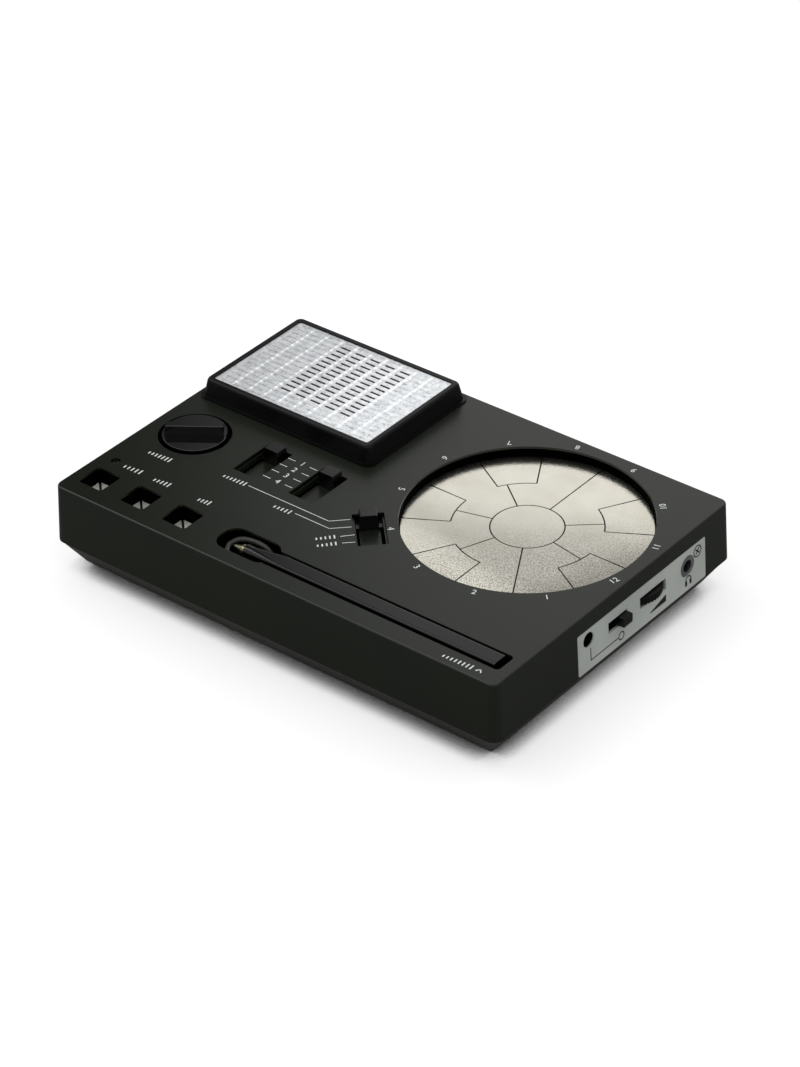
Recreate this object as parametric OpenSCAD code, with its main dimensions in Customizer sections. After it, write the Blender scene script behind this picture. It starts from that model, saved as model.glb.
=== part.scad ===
// Pocket drum machine with a round touch plate and a stylus.
// Millimetres, +Z up. The origin is on the table, under the centre of the case.

/* [Case] */
// Length of the top face
case_l = 150; // [146:1:160]
// Width of the top face, front to back
case_w = 102.6; // [100:0.2:110]
// Height of the top face above the table
case_h = 27; // [26.5:0.1:30]
// Radius of the upright corners
corner_r = 2.4; // [1.8:0.1:5]
// Rounding of the top face's edge
edge_r = 0.4; // [0.3:0.1:1]
// Thickness of the top face
top_t = 3.1; // [2.8:0.05:3.4]
// Thickness of the side walls
wall_t = 2; // [1.6:0.1:2.4]
// Height of the upper shell's walls
shell_h = 17.6; // [16:0.1:18.5]
// How far the upper shell spreads from its top to its lower edge
draft = 0.85; // [0.4:0.05:1.4]
// How far the lower case's floor is set in from the top face
base_inset = 5; // [4:0.1:6]
// Thickness of the lower case's floor
base_t = 2; // [1.6:0.1:2.2]
// Joint line between the two shells
part_gap = 0.2; // [0.1:0.05:0.4]

/* [Feet and case screws] */
// Height of the feet below the floor
foot_h = 1; // [0.6:0.1:2]
// Radius of a foot
foot_r = 5; // [3:0.5:6]
// Centre of a foot from the end of the case
foot_in_x = 19; // [17:0.5:24]
// Centre of a foot from the front or the back of the case
foot_in_y = 15.3; // [14:0.1:20]
// Centre of a case screw from the end of the case
screw_in = 9.5; // [9:0.1:11]
// Shank radius of a case screw
screw_r = 1.2; // [1:0.1:1.5]

/* [Touch plate] */
// Radius of the opening at the top face
dial_r = 34.3; // [30:0.1:35]
// Rim of the opening from the right end of the case
dial_in_x = 4.1; // [3.5:0.1:8]
// Rim of the opening from the back of the case
dial_in_y = 4.1; // [3.5:0.1:8]
// Thickness of a metal pad
pad_t = 0.25; // [0.15:0.05:0.5]
// Gap between two pads
pad_gap = 0.4; // [0.2:0.05:0.8]
// Radius of the round middle pad
pad_core_r = 10; // [8:0.5:12]
// Inner radius of the five short pads
pad_inset_r = 20.6; // [17:0.1:24]
// Thickness of the boards
board_t = 1.6; // [1:0.1:2]

/* [Speaker hood] */
// Length of the hood at the top face
hood_l = 60.7; // [56:0.1:62]
// Width of the hood at the top face
hood_w = 43.1; // [42:0.1:46]
// Height of the hood above the top face
hood_h = 5.5; // [4.5:0.1:8]
// Hood's side from the left end of the case
hood_in_x = 2.1; // [1.5:0.1:4]
// Hood's back from the back of the case
hood_in_y = 1.8; // [1.5:0.1:3]
// How far the hood's sides lean in
hood_lean = 1.05; // [0.5:0.05:1.5]
// Width of the rim round the grille
hood_rim = 1.6; // [1:0.1:2]
// Thickness of the grille's sheet
grille_t = 0.7; // [0.5:0.05:1]
// Distance between columns of slots
slot_pitch_x = 5.33; // [4.6:0.01:5.6]
// Distance between rows of slots
slot_pitch_y = 2.19; // [1.8:0.01:2.4]
// Length of a slot
slot_l = 3.5; // [2.5:0.1:4]
// Width of a slot
slot_w = 0.8; // [0.5:0.05:1]
// Depth of the pressed dents between the slots and the edge
dent_d = 0.2; // [0.1:0.05:0.3]
// Side of the speaker's square frame
speaker_w = 39; // [36:0.5:39]
// Radius of the speaker's basket
speaker_r = 17.2; // [15:0.1:17.3]

/* [Tempo knob] */
// Radius of the knob's disc
knob_r = 9.1; // [8:0.1:9.5]
// Gap round the disc
knob_gap = 1.2; // [0.3:0.1:1.3]
// Knob's centre from the left end of the case
knob_in_x = 14; // [13:0.1:18]
// Knob's centre from the front of the case
knob_in_y = 41.7; // [40:0.1:44]
// Direction of the grip bar
knob_turn = 35; // [0:5:90]
// Height of the disc above the top face
knob_rise = 0.6; // [0:0.1:1]
// Height of the grip bar above the top face
grip_h = 3.4; // [2:0.1:5]

/* [Slide switches] */
// Length of a switch's opening
track_l = 14.9; // [14.6:0.1:16]
// Width of a switch's opening
track_w = 8.7; // [8.4:0.1:9.2]
// Depth of its floor below the top face
track_d = 2.6; // [2.2:0.1:2.8]
// Width of its floor
track_land = 5.7; // [5.3:0.1:5.9]
// Distance between two of the four positions
step = 3.5; // [3.2:0.1:3.5]
// Length of a cap along its travel
cap_l = 4.1; // [3.4:0.1:4.1]
// Width of a cap
cap_w = 5.2; // [4:0.1:5.4]
// Height of a cap above the top face
cap_h = 2; // [1.5:0.1:4]

/* [Trigger wells] */
// Side of a square well
well_w = 8.5; // [7:0.1:9.5]
// Depth of a well
well_d = 4.6; // [4.3:0.1:4.9]
// Distance between wells
well_pitch = 15; // [14:0.1:15.4]
// First well's centre from the left end of the case
well_in_x = 7.9; // [7.7:0.1:8.6]
// Wells' centre from the front of the case
well_in_y = 9.6; // [9.2:0.1:10]

/* [Stylus] */
// Width of the stylus bar
stylus_w = 5; // [4.5:0.1:6]
// Height of the stylus bar
stylus_h = 4.6; // [4:0.1:5]
// Gap behind the bar in its groove
stylus_gap = 0.45; // [0.3:0.05:0.8]
// Gap in front of the bar, for a fingernail
nail_gap = 1.55; // [0.5:0.05:2]
// Depth of the groove
groove_d = 6.4; // [6.2:0.1:7]
// Wall round the groove and the wells, under the top face
trough_t = 1.3; // [0.8:0.1:1.4]
// Groove's end from the right end of the case
groove_in_x = 3.6; // [3.5:0.1:8]
// Groove's middle line from the front of the case
groove_in_y = 9.5; // [9.4:0.1:10.2]
// Radius of the stylus lead
lead_r = 0.75; // [0.5:0.05:0.8]

/* [Side plate] */
// Length of the plate on the right side
plate_l = 57; // [54:0.5:60]
// Height of the plate
plate_h = 12.6; // [12:0.1:12.8]
// Thickness of the plate
plate_t = 0.8; // [0.5:0.1:1]
// Lip of the case wall that the plate's edge sits on
plate_lip = 1.2; // [0.8:0.1:1.5]
// Bore radius of the plug sockets
jack_r = 1.8; // [1.7:0.05:1.9]
// Radius of the volume wheel
wheel_r = 8; // [7.6:0.1:8.2]
// Thickness of the volume wheel
wheel_t = 2.2; // [1.8:0.1:2.6]
// How far the wheel stands out of the side
wheel_out = 1.4; // [1:0.1:1.5]

/* [Battery] */
// Radius of a cell
cell_r = 5.2; // [5:0.05:5.25]
// Length of a cell without its nub
cell_l = 43.5; // [42.5:0.1:44]
// Gap round the sliding door
door_gap = 0.2; // [0.15:0.05:0.4]

/* [Hidden] */

$fn = 48;
eps = 0.01;                     // overlap of a cut past a face
skin = 0.02;                    // thickness of a slab that a loft runs between
snug = 0.1;                     // gap of a loose fit between fixed pieces
run = 0.06;                     // running gap of a shaft in its bore
seat = 0.15;                    // gap under a piece that slides or lifts off

left = -case_l / 2;
right = case_l / 2;
front = -case_w / 2;
back = case_w / 2;
shell_z = case_h - shell_h;     // lower edge of the upper shell
roof_z = case_h - top_t;        // underside of the top face
floor_z = foot_h + base_t;      // inner face of the lower case's floor

dial_x = right - dial_in_x - dial_r;
dial_y = back - dial_in_y - dial_r;
dial_lean = 0.3;                // the opening's wall narrows this much downward
dial_board_r = dial_r + 1.3;
ear_at = dial_board_r + 1.4;    // the board's screw ears, from its centre
ear_r = 3.2;
ear_angles = [60, 180, 300];

hood_x = left + hood_in_x + hood_l / 2;
hood_y = back - hood_in_y - hood_w / 2;
hood_foot = 0.8;                // small flange round the hood's lower edge
hood_foot_h = 0.5;
hood_r = 2.2;
grille_drop = 0.3;              // grille's top face below the rim
grille_l = hood_l - 2 * (hood_lean + hood_rim + snug);
grille_w = hood_w - 2 * (hood_lean + hood_rim + snug);
grille_z = case_h + hood_h - grille_drop - grille_t;
grille_ledge = 1.2;
slot_columns = [-1.5, -0.5, 0.5, 1.5, 2.5];
slot_rows = [-5:1:7];
cell_columns = [-4.5:1:4.5];    // columns and rows of the whole pressed pattern
cell_rows = [-8:1:8];
rib_rise = 0.2;                 // pressed ribs and the beads on them, above the sheet
bead_rise = 0.35;
speaker_flange = 1.2;
speaker_hole_at = speaker_w / 2 - 2.9;
magnet_r = 10;
magnet_h = 5.5;
basket_d = 9.5;                 // basket's back plate below the top face

knob_x = left + knob_in_x;
knob_y = front + knob_in_y;
knob_t = 2.6;
hub_r = 4.6;
shaft_r = 3;
control_z = case_h - 7.4;       // underside of the control board
control_top = control_z + board_t;
control_x = [left + 3.5, left + 48, left + 90.8];   // the board's left end, step and right end
control_y = [front + 3.8, front + 17.8, dial_y - 9.4];

rail_t = 0.5;
rail_drop = 1;                  // rail's top below the top face
track_slot = track_w / 2 - 0.1 - rail_t - track_land / 2;
land_z = case_h - track_d;
leg_t = 0.5;
leg_in = (track_slot - leg_t) / 2;
switch_l = track_l + 2.6;
track_a = [left + 37.85, front + 42.5];
track_b = [left + 57.45, front + 42.5];
track_c = [dial_x - 30, dial_y - 29.2];
turn_c = 44;                    // third switch's turn about the vertical
cap_offset = (track_l - 3 * step - cap_l) / 2;

well_x = left + well_in_x;
well_y = front + well_in_y;
led_x = left + 5.4;
led_y = front + 18.8;
led_r = 1.25;

groove_x1 = right - groove_in_x;
groove_y = front + groove_in_y;
groove_w = stylus_w + stylus_gap + nail_gap;
groove_r = 1.2;
groove_floor = case_h - groove_d;
bar_l = 72;                     // the stylus's straight part
bar_y = groove_y + (nail_gap - stylus_gap) / 2;
bar_x1 = groove_x1 - 2.4;
bar_x0 = bar_x1 - bar_l;
neck_l = 9.5;                   // from the straight part to the round neck
tip_l = 4.5;
neck_x = bar_x0 - neck_l;
tip_x = neck_x - 2.5;
tip_end = tip_x - tip_l;
pocket_l = 18.5;                // wide end of the groove, round the tip
pocket_w = groove_w + 3;
pocket_x1 = bar_x0 - 2;
pocket_x0 = pocket_x1 - pocket_l;
stylus_z = case_h - stylus_h / 2;
rib_h = groove_d - stylus_h - 0.05;

plate_y = back - 39.8;          // middle of the side plate
plate_z = shell_z + 0.1 + plate_h / 2;
lean_a = atan(draft / shell_h); // the side wall's lean
plate_sink = 0.15;              // plate's face below the wall's face
side_x = right - wall_t;        // inner face of the right wall near the top
jack_w = 8;
line_y = back - 63.6;
line_z = case_h - 8.2;
phone_y = back - 19.5;
phone_z = case_h - 10;
nose_r = 2.9;                   // headphone socket's metal nose
line_r = 2.1;                   // line socket's nose
shoulder_r = line_r + 0.4;
shoulder_in = 0.9;              // shoulder's face in from the case's right end
power_y = back - 50.8;          // middle of the power switch's slot
power_z = case_h - 9.8;
power_slot = 8.3;
power_travel = 3.9;
power_knob_w = 3.8;
power_knob_h = 2.6;
window_w = 11.4;
window_h = 3.4;
wheel_y = back - 35.2;
wheel_z = case_h - 9.9;
wheel_x = right + draft * (case_h - wheel_z) / shell_h - plate_sink + wheel_out - wheel_r;
side_board_z = case_h - 14.6;   // underside of the board behind the side plate
side_top = side_board_z + board_t;
side_board_x0 = right - 25;
side_board_x1 = right - 2.4;
side_board_y0 = plate_y - 31.8;
side_board_y1 = plate_y + 26.2;
side_posts = [for (y = [-28.8, -2.8, 23.2]) [side_board_x0 + 3, plate_y + y]];

bay_x = right - 58;             // middle of the battery bay
bay_wall = 1.2;
bay_l = cell_l + 6.5;
cell_pitch = 2 * cell_r + 0.4;
bay_w = 3 * cell_pitch + 0.4;
bay_y1 = back - 7;              // inner back face of the bay
bay_y0 = bay_y1 - bay_w;
flange_t = 1;
ledge_w = 1.2;                  // floor that the door's flange runs on
door_z = floor_z + seat;        // underside of the door's flange
cell_z = door_z + flange_t + seat + cell_r;
bay_z1 = cell_z + cell_r + 0.4;
door_w = bay_l - 2 * ledge_w - 2 * door_gap;

main_z = floor_z + 3.6;         // underside of the main board
main_x = left + 38;
main_y = front + 30;
main_l = 46;
main_w = 42;
main_posts = [for (sx = [-1, 1], sy = [-1, 1]) [main_x + sx * 20, main_y + sy * 18]];

case_posts = [[left + screw_in, back - 9], [left + screw_in, front + 27.3],
    [right - screw_in, back - 9], [right - screw_in, front + 21.3]];
post_r = 3.1;
head_r = 2.4;
head_h = 1.6;
screw_z = foot_h + head_h + 1;  // underside of a case screw's head
control_pegs = [[left + 28, knob_y + 7.6], [left + 47.6, knob_y + 7.6], [left + 45, front + 21.3],
    [left + 15.4, front + 21.3], [left + 70, front + 22.8], [left + 70, knob_y + 8.6]];

lead_in = [groove_x1 - 80.4, bar_y + 3.9];      // where the lead goes into the case
// The lead's route, from the stylus's tail to the control board, by distance from the
// groove's right end, the bar's middle line and the top face
lead_route = [[11.4, 0, -3.1], [14.4, 0, -3.5], [18.4, 0, -4.6], [22.4, 0, -5.4], [27.4, 0, -5.55],
    [37.4, 0, -5.55], [47.4, 0, -5.55], [57.4, 0, -5.55], [67.4, 0, -5.55], [75.4, 0, -5.55],
    [79.4, -0.6, -5.5], [82.9, -2.2, -4.9], [86, -3.4, -3.9], [88.6, -3.7, -3],
    [91.1, -2.6, -2.5], [92.2, 0, -2.2], [91.1, 2.6, -1.9], [88.6, 3.75, -1.7],
    [85, 3.9, -1.6], [82.2, 3.9, -2.3], [80.6, 3.9, -4.2], [80.4, 3.9, -6.6],
    [80.4, 3.9, -8.4], [80.4, 4.7, -10], [80.4, 6.6, -10.8], [80.4, 8.5, -10], [80.4, 9.3, -8.4],
    [80.4, 9.3, -7.4]];

function grown(z) = draft * (case_h - z) / shell_h;
function base_grown(z) = -base_inset + (z - foot_h) / (shell_z - part_gap - foot_h)
    * (base_inset + draft - 0.4);

// A rectangle with round corners, about the origin
module round_rect(l, w, r) {
    square([l - 2 * r, w], center = true);
    square([l, w - 2 * r], center = true);
    for (sx = [-1, 1], sy = [-1, 1])
        translate([sx * (l / 2 - r), sy * (w / 2 - r)]) circle(r);
}

// A thin slab of the case's outline, grown by g
module slab(g, z) {
    translate([0, 0, z]) linear_extrude(skin)
        round_rect(case_l + 2 * g, case_w + 2 * g, max(corner_r + g, 0.8));
}

// A block with round upright edges, standing on z0
module block(l, w, z0, z1, r = 0.4) {
    translate([0, 0, z0]) linear_extrude(z1 - z0) round_rect(l, w, r);
}

// A screw with its head's underside at z; it points up, or down where flip is 1
module screw(z, r, length, flip = 0) {
    translate([0, 0, z]) mirror([0, 0, flip]) difference() {
        union() {
            cylinder(h = length, r = r);
            translate([0, 0, -head_h]) cylinder(h = head_h, r = 2 * r);
        }
        for (a = [0, 90]) rotate(a)
            translate([0, 0, -head_h]) cube([2.2 * r, 0.5, 1.2], center = true);
    }
}

// Outline of the stylus groove with its wider pocket, grown by g
module groove_outline(g = 0) {
    groove_l = groove_x1 - pocket_x1 + groove_w;
    translate([groove_x1 - groove_l / 2, groove_y])
        round_rect(groove_l + 2 * g, groove_w + 2 * g, groove_r + g);
    translate([(pocket_x0 + pocket_x1) / 2, bar_y])
        round_rect(pocket_x1 - pocket_x0 + 2 * g, pocket_w + 2 * g, pocket_w / 2 - 0.8 + g);
}

module at_tracks() {
    translate(track_a) children();
    translate(track_b) children();
    translate(track_c) rotate(turn_c) children();
}

// A cutter that lies against the leaning right wall; its x = 0 is the wall's face
module on_side(y, z) {
    translate([right + grown(z), y, z]) rotate([0, -lean_a, 0]) children();
}

module top_case() color("#262825") {
    difference() {
        union() {
            difference() {
                hull() {
                    slab(draft, shell_z);
                    slab(grown(case_h - edge_r), case_h - edge_r - skin);
                    slab(grown(case_h) - 0.3 * edge_r, case_h - 0.3 * edge_r - skin);
                    slab(-edge_r, case_h - skin);
                }
                hull() {
                    slab(draft - wall_t, shell_z - eps);
                    slab(grown(roof_z) - wall_t, roof_z - skin);
                }
            }
            translate([0, 0, groove_floor - trough_t])
                linear_extrude(roof_z - groove_floor + trough_t + eps) groove_outline(trough_t);
            for (i = [0:2]) translate([well_x + i * well_pitch, well_y])
                block(well_w + 2 * trough_t, well_w + 2 * trough_t, case_h - well_d, roof_z + eps, 1);
            for (p = case_posts) translate([p[0], p[1], shell_z + snug])
                cylinder(h = roof_z - shell_z, r = post_r);
            for (p = control_pegs) translate([p[0], p[1], control_top])
                cylinder(h = roof_z - control_top + eps, r = 2.2);
        }
        translate([dial_x, dial_y, roof_z - eps])
            cylinder(h = top_t + 2 * eps, r1 = dial_r - dial_lean, r2 = dial_r, $fn = 96);
        translate([0, 0, groove_floor]) linear_extrude(groove_d + eps) groove_outline();
        translate([lead_in[0], lead_in[1], groove_floor - trough_t - eps])
            cylinder(h = trough_t + 1, r = 1.4);
        at_tracks() block(track_w, track_l, roof_z - eps, case_h + eps);
        for (i = [0:2]) translate([well_x + i * well_pitch, well_y])
            block(well_w, well_w, case_h - well_d - eps, case_h + eps, 0.9);
        translate([knob_x, knob_y, roof_z - eps]) cylinder(h = top_t + 1, r = knob_r + knob_gap);
        translate([led_x, led_y, roof_z - eps]) cylinder(h = top_t + 1, r = led_r + snug);
        translate([hood_x, hood_y, roof_z - eps]) cylinder(h = top_t + 1, r = speaker_r + 0.4);
        for (sx = [-1, 1], sy = [-1, 1])
            translate([hood_x + sx * speaker_hole_at, hood_y + sy * speaker_hole_at, case_h - 2.2])
                cylinder(h = 3, r = 0.8);
        for (a = ear_angles) translate([dial_x, dial_y, roof_z - eps]) rotate(a)
            translate([ear_at, 0]) cylinder(h = 2.2, r = 0.9);
        for (p = case_posts) translate([p[0], p[1], shell_z - 1]) cylinder(h = 10, r = screw_r);
        for (p = control_pegs) translate([p[0], p[1], control_top - 1]) cylinder(h = 4, r = 0.9);
        on_side(plate_y, plate_z)
            cube([2 * (plate_t + plate_sink), plate_l + 0.3, plate_h + 0.3], center = true);
        // Window behind the plate, open at the lower edge and as high as the line socket needs
        translate([side_x - 1, plate_y - plate_l / 2 + plate_lip, shell_z - 1])
            cube([wall_t + draft + 3, plate_l - 2 * plate_lip,
                line_z + shoulder_r + 0.2 - shell_z + 1]);
    }
    // Ribs that the stylus bar rests on, with a way through for the lead
    for (x = [groove_x1 - 12, groove_x1 - 52]) difference() {
        translate([x, groove_y, groove_floor + rib_h / 2])
            cube([1.4, groove_w + 0.1, rib_h + 2 * eps], center = true);
        translate([x, bar_y, groove_floor + rib_h / 2])
            cube([2, 2 * lead_r + 0.7, rib_h + 1], center = true);
    }
}

module tub() {
    hull() {
        slab(base_grown(shell_z - part_gap), shell_z - part_gap - skin);
        slab(-base_inset + 0.3, foot_h + 0.5);
        slab(-base_inset - 0.2, foot_h);
    }
}

// The space that the battery door fills in the floor and the back wall
module door_cut() {
    translate([bay_x - door_w / 2 - door_gap, bay_y0, -eps])
        cube([door_w + 2 * door_gap, case_w, floor_z + 2 * eps]);
    translate([bay_x - bay_l / 2, bay_y0 + bay_wall, floor_z])
        cube([bay_l, case_w, seat + flange_t + 0.2]);
}

module bottom_case() color("#1b1c1b") difference() {
    union() {
        difference() {
            tub();
            hull() {
                slab(base_grown(shell_z) - wall_t, shell_z);
                slab(base_grown(floor_z) - wall_t, floor_z);
            }
        }
        // Tongue that centres the upper shell
        translate([0, 0, shell_z - part_gap - 1.5]) linear_extrude(3) difference() {
            round_rect(case_l - 2 * wall_t + 2 * draft - 2 * snug - 0.2,
                case_w - 2 * wall_t + 2 * draft - 2 * snug - 0.2, 1);
            round_rect(case_l - 2 * wall_t - 1.6, case_w - 2 * wall_t - 1.6, 1);
        }
        for (p = case_posts) translate([p[0], p[1], foot_h + 0.5])
            cylinder(h = shell_z - foot_h - 0.5, r = post_r);
        for (p = side_posts) translate([p[0], p[1], floor_z - eps])
            cylinder(h = side_board_z - floor_z + eps, r = 2.4);
        for (p = main_posts) translate([p[0], p[1], floor_z - eps])
            cylinder(h = main_z - floor_z + eps, r = 2.4);
    }
    door_cut();
    for (p = case_posts) {
        translate([p[0], p[1], foot_h - 1]) cylinder(h = 20, r = screw_r + 0.2);
        translate([p[0], p[1], foot_h - 1]) cylinder(h = head_h + 2, r = head_r + 0.3);
    }
    for (p = side_posts) translate([p[0], p[1], side_board_z - 5]) cylinder(h = 6, r = 0.9);
    for (p = main_posts) translate([p[0], p[1], main_z - 3.4]) cylinder(h = 4, r = 0.9);
    for (sx = [-1, 1], sy = [-1, 1])
        translate([sx * (right - foot_in_x), sy * (back - foot_in_y), foot_h - 1])
            cylinder(h = 1.8, r = foot_r + snug);
}

module rubber_feet() color("#151515") for (sx = [-1, 1], sy = [-1, 1])
    translate([sx * (right - foot_in_x), sy * (back - foot_in_y), 0]) {
        cylinder(h = 0.4, r1 = foot_r - 0.4, r2 = foot_r);
        translate([0, 0, 0.4]) cylinder(h = foot_h + 0.8 - 0.4, r = foot_r);
    }

module case_screws() color("silver") for (p = case_posts)
    translate([p[0], p[1], 0]) screw(screw_z, screw_r, shell_z + 8 - screw_z);

module hood_slab(inset, z) {
    translate([hood_x, hood_y, z]) linear_extrude(skin)
        round_rect(hood_l - 2 * inset, hood_w - 2 * inset, hood_r - inset / 2);
}

module speaker_hood() color("#1a1b1c") difference() {
    union() {
        hull() {
            hood_slab(0, case_h);
            hood_slab(hood_lean * 0.9, case_h + hood_h - 0.7);
            hood_slab(hood_lean + 0.15, case_h + hood_h - 0.2);
            hood_slab(hood_lean + 0.4, case_h + hood_h - skin);
        }
        translate([hood_x, hood_y])
            block(hood_l + 2 * hood_foot, hood_w + 2 * hood_foot, case_h, case_h + hood_foot_h,
                hood_r + hood_foot);
    }
    translate([hood_x, hood_y]) {
        block(grille_l + 2 * snug, grille_w + 2 * snug, grille_z, case_h + hood_h + 1, 0.8);
        block(grille_l - 2 * grille_ledge, grille_w - 2 * grille_ledge, case_h - eps,
            grille_z + 1, 0.8);
        block(hood_l - 2.6, hood_w - 2.6, case_h - eps, grille_z - 1.4, 0.8);
    }
}

module speaker_grille() color("#d6d8d6") translate([hood_x, hood_y, grille_z]) difference() {
    union() {
        linear_extrude(grille_t - 0.15) round_rect(grille_l, grille_w, 0.7);
        // Pressed ribs between the columns, with a bead between two rows
        for (i = [-4:4]) translate([i * slot_pitch_x, 0, grille_t - 0.15]) {
            linear_extrude(rib_rise) round_rect(0.9, grille_w - 1.6, 0.4);
            for (j = [-8:7]) translate([0, (j + 0.5) * slot_pitch_y, 0])
                cylinder(h = bead_rise, r1 = 0.8, r2 = 0.35, $fn = 24);
        }
    }
    for (i = cell_columns, j = cell_rows)
        translate([i * slot_pitch_x, j * slot_pitch_y, grille_t - 0.15 - dent_d])
            linear_extrude(1) square([slot_l, slot_w], center = true);
    for (i = slot_columns, j = slot_rows)
        translate([i * slot_pitch_x, j * slot_pitch_y, -1])
            linear_extrude(grille_t + 2) square([slot_l, slot_w], center = true);
}

module speaker_basket() color("#3a3c3e") translate([hood_x, hood_y, case_h]) difference() {
    union() {
        block(speaker_w, speaker_w, 0, speaker_flange, 3);
        rotate_extrude($fn = 64) polygon([[0, -basket_d], [speaker_r - 5, -basket_d],
            [speaker_r, -basket_d + 4], [speaker_r, 0.5], [0, 0.5]]);
    }
    rotate_extrude($fn = 64) polygon([[0, -basket_d + 1], [speaker_r - 5.4, -basket_d + 1],
        [speaker_r - 0.8, -basket_d + 4.4], [speaker_r - 0.8, speaker_flange + 1],
        [0, speaker_flange + 1]]);
    for (sx = [-1, 1], sy = [-1, 1])
        translate([sx * speaker_hole_at, sy * speaker_hole_at, -1]) cylinder(h = 4, r = 1);
}

module speaker_cone() color("#202020") translate([hood_x, hood_y, case_h + speaker_flange])
    rotate_extrude($fn = 64) polygon([[0, -5.2], [3.6, -5.6], [4.4, -7], [5, -7], [5.4, -5.2],
        [speaker_r - 3, -0.6], [speaker_r - 2, 0.5], [speaker_r - 0.9, 0.9],
        [speaker_r + 1, 0.6], [speaker_r + 1, 0], [speaker_r - 1.2, 0], [speaker_r - 2.6, -1.4],
        [5.8, -6.2], [5, -8], [4, -8], [3, -6.2], [0, -5.8]]);

module speaker_magnet() color("#7b7d80") translate([hood_x, hood_y, case_h - basket_d]) {
    translate([0, 0, -magnet_h]) cylinder(h = magnet_h - 1.2, r = magnet_r);
    translate([0, 0, -1.2]) cylinder(h = 1.2, r = magnet_r - 0.6);
    translate([0, 0, -magnet_h - 1]) cylinder(h = 1, r = magnet_r - 0.6);
}

module speaker_screws() color("silver") for (sx = [-1, 1], sy = [-1, 1])
    translate([hood_x + sx * speaker_hole_at, hood_y + sy * speaker_hole_at, 0])
        screw(case_h + speaker_flange, 0.8, 3, 1);

// A ring arc in the plane, about the dial's centre
module arc(r, width, from, sweep) {
    intersection() {
        difference() {
            circle(r + width / 2, $fn = 96);
            circle(r - width / 2, $fn = 96);
        }
        polygon([[0, 0], for (i = [0:4]) 2 * r * [cos(from + i * sweep / 4), sin(from + i * sweep / 4)]]);
    }
}

// A straight gap between two pads, from one radius to another
module spoke(angle, r0, r1) {
    rotate(angle) translate([r0, -pad_gap / 2]) square([r1 - r0, pad_gap]);
}

module touch_pads() color("#cdcbbe") translate([dial_x, dial_y, roof_z]) linear_extrude(pad_t) {
    short_pads = [30, 120, 180, 240, 330];
    between = [-10, 40, 142.5, 195, 247.5];
    pads_r = dial_r - dial_lean - 0.2;
    difference() {
        circle(pads_r, $fn = 96);
        arc(pad_core_r, pad_gap, 0, 180);
        arc(pad_core_r, pad_gap, 180, 180);
        for (a = short_pads) {
            arc(pad_inset_r, pad_gap, a, 30);
            spoke(a, pad_inset_r, pads_r + 1);
            spoke(a + 30, pad_inset_r, pads_r + 1);
        }
        for (a = between) spoke(a, pad_core_r, pad_inset_r);
        spoke(90, pad_core_r, pads_r + 1);
        spoke(300, pad_core_r, pads_r + 1);
    }
}

module touch_board() color("#1d5a38") translate([dial_x, dial_y, roof_z - board_t]) difference() {
    union() {
        cylinder(h = board_t, r = dial_board_r, $fn = 96);
        for (a = ear_angles) rotate(a) translate([ear_at, 0]) cylinder(h = board_t, r = ear_r);
    }
    for (a = ear_angles) rotate(a) translate([ear_at, 0, -1]) cylinder(h = 4, r = 1.1);
}

module touch_board_screws() color("silver") for (a = ear_angles)
    translate([dial_x, dial_y]) rotate(a) translate([ear_at, 0])
        screw(roof_z - board_t, 0.9, board_t + 2);

module control_board() color("#1d5a38") translate([0, 0, control_z]) linear_extrude(board_t)
    difference() {
        union() {
            translate([control_x[0], control_y[0]])
                square([control_x[1] - control_x[0], control_y[2] - control_y[0]]);
            translate([control_x[1] - 1, control_y[1]])
                square([control_x[2] - control_x[1] + 1, control_y[2] - control_y[1]]);
        }
        for (p = case_posts) translate(p) circle(post_r + 0.4);
        for (p = control_pegs) translate(p) circle(1.1);
        translate([knob_x, knob_y]) circle(3.7);
    }

module control_board_screws() color("silver") for (p = control_pegs)
    translate([p[0], p[1], 0]) screw(control_z, 0.9, board_t + 2.6);

module well_contacts() color("#e4e2d8") for (i = [0:2])
    translate([well_x + i * well_pitch, well_y, control_top])
        linear_extrude(case_h - well_d - control_top - 0.1) difference() {
            round_rect(well_w - 0.6, well_w - 0.6, 0.7);
            rotate(45) square([0.7, 2 * well_w], center = true);
        }

// A slide switch's frame: its rails and its floor stand in the opening
module switch_frame() color("#262825") difference() {
    union() {
        block(track_w - 0.1, switch_l, control_top, roof_z - snug, 0.3);
        for (s = [-1, 1])
            translate([s * (track_w / 2 - 0.1 - rail_t / 2), 0, roof_z - 1])
                linear_extrude(top_t - rail_drop + 1)
                    square([rail_t, track_l - 0.4], center = true);
        block(track_land, track_l - 0.4, roof_z - 1, land_z, 0.2);
    }
    translate([0, 0, control_top + 0.5]) {
        for (s = [-1, 1]) translate([s * (track_land + track_slot) / 2, 0, 0])
            linear_extrude(top_t + 5) square([track_slot, track_l - 0.1], center = true);
        linear_extrude(1.1) square([track_land + 1, track_l - 0.1], center = true);
    }
}

module slide_switch_a() translate(track_a) switch_frame();
module slide_switch_b() translate(track_b) switch_frame();
module slide_switch_c() translate(track_c) rotate(turn_c) switch_frame();

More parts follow.
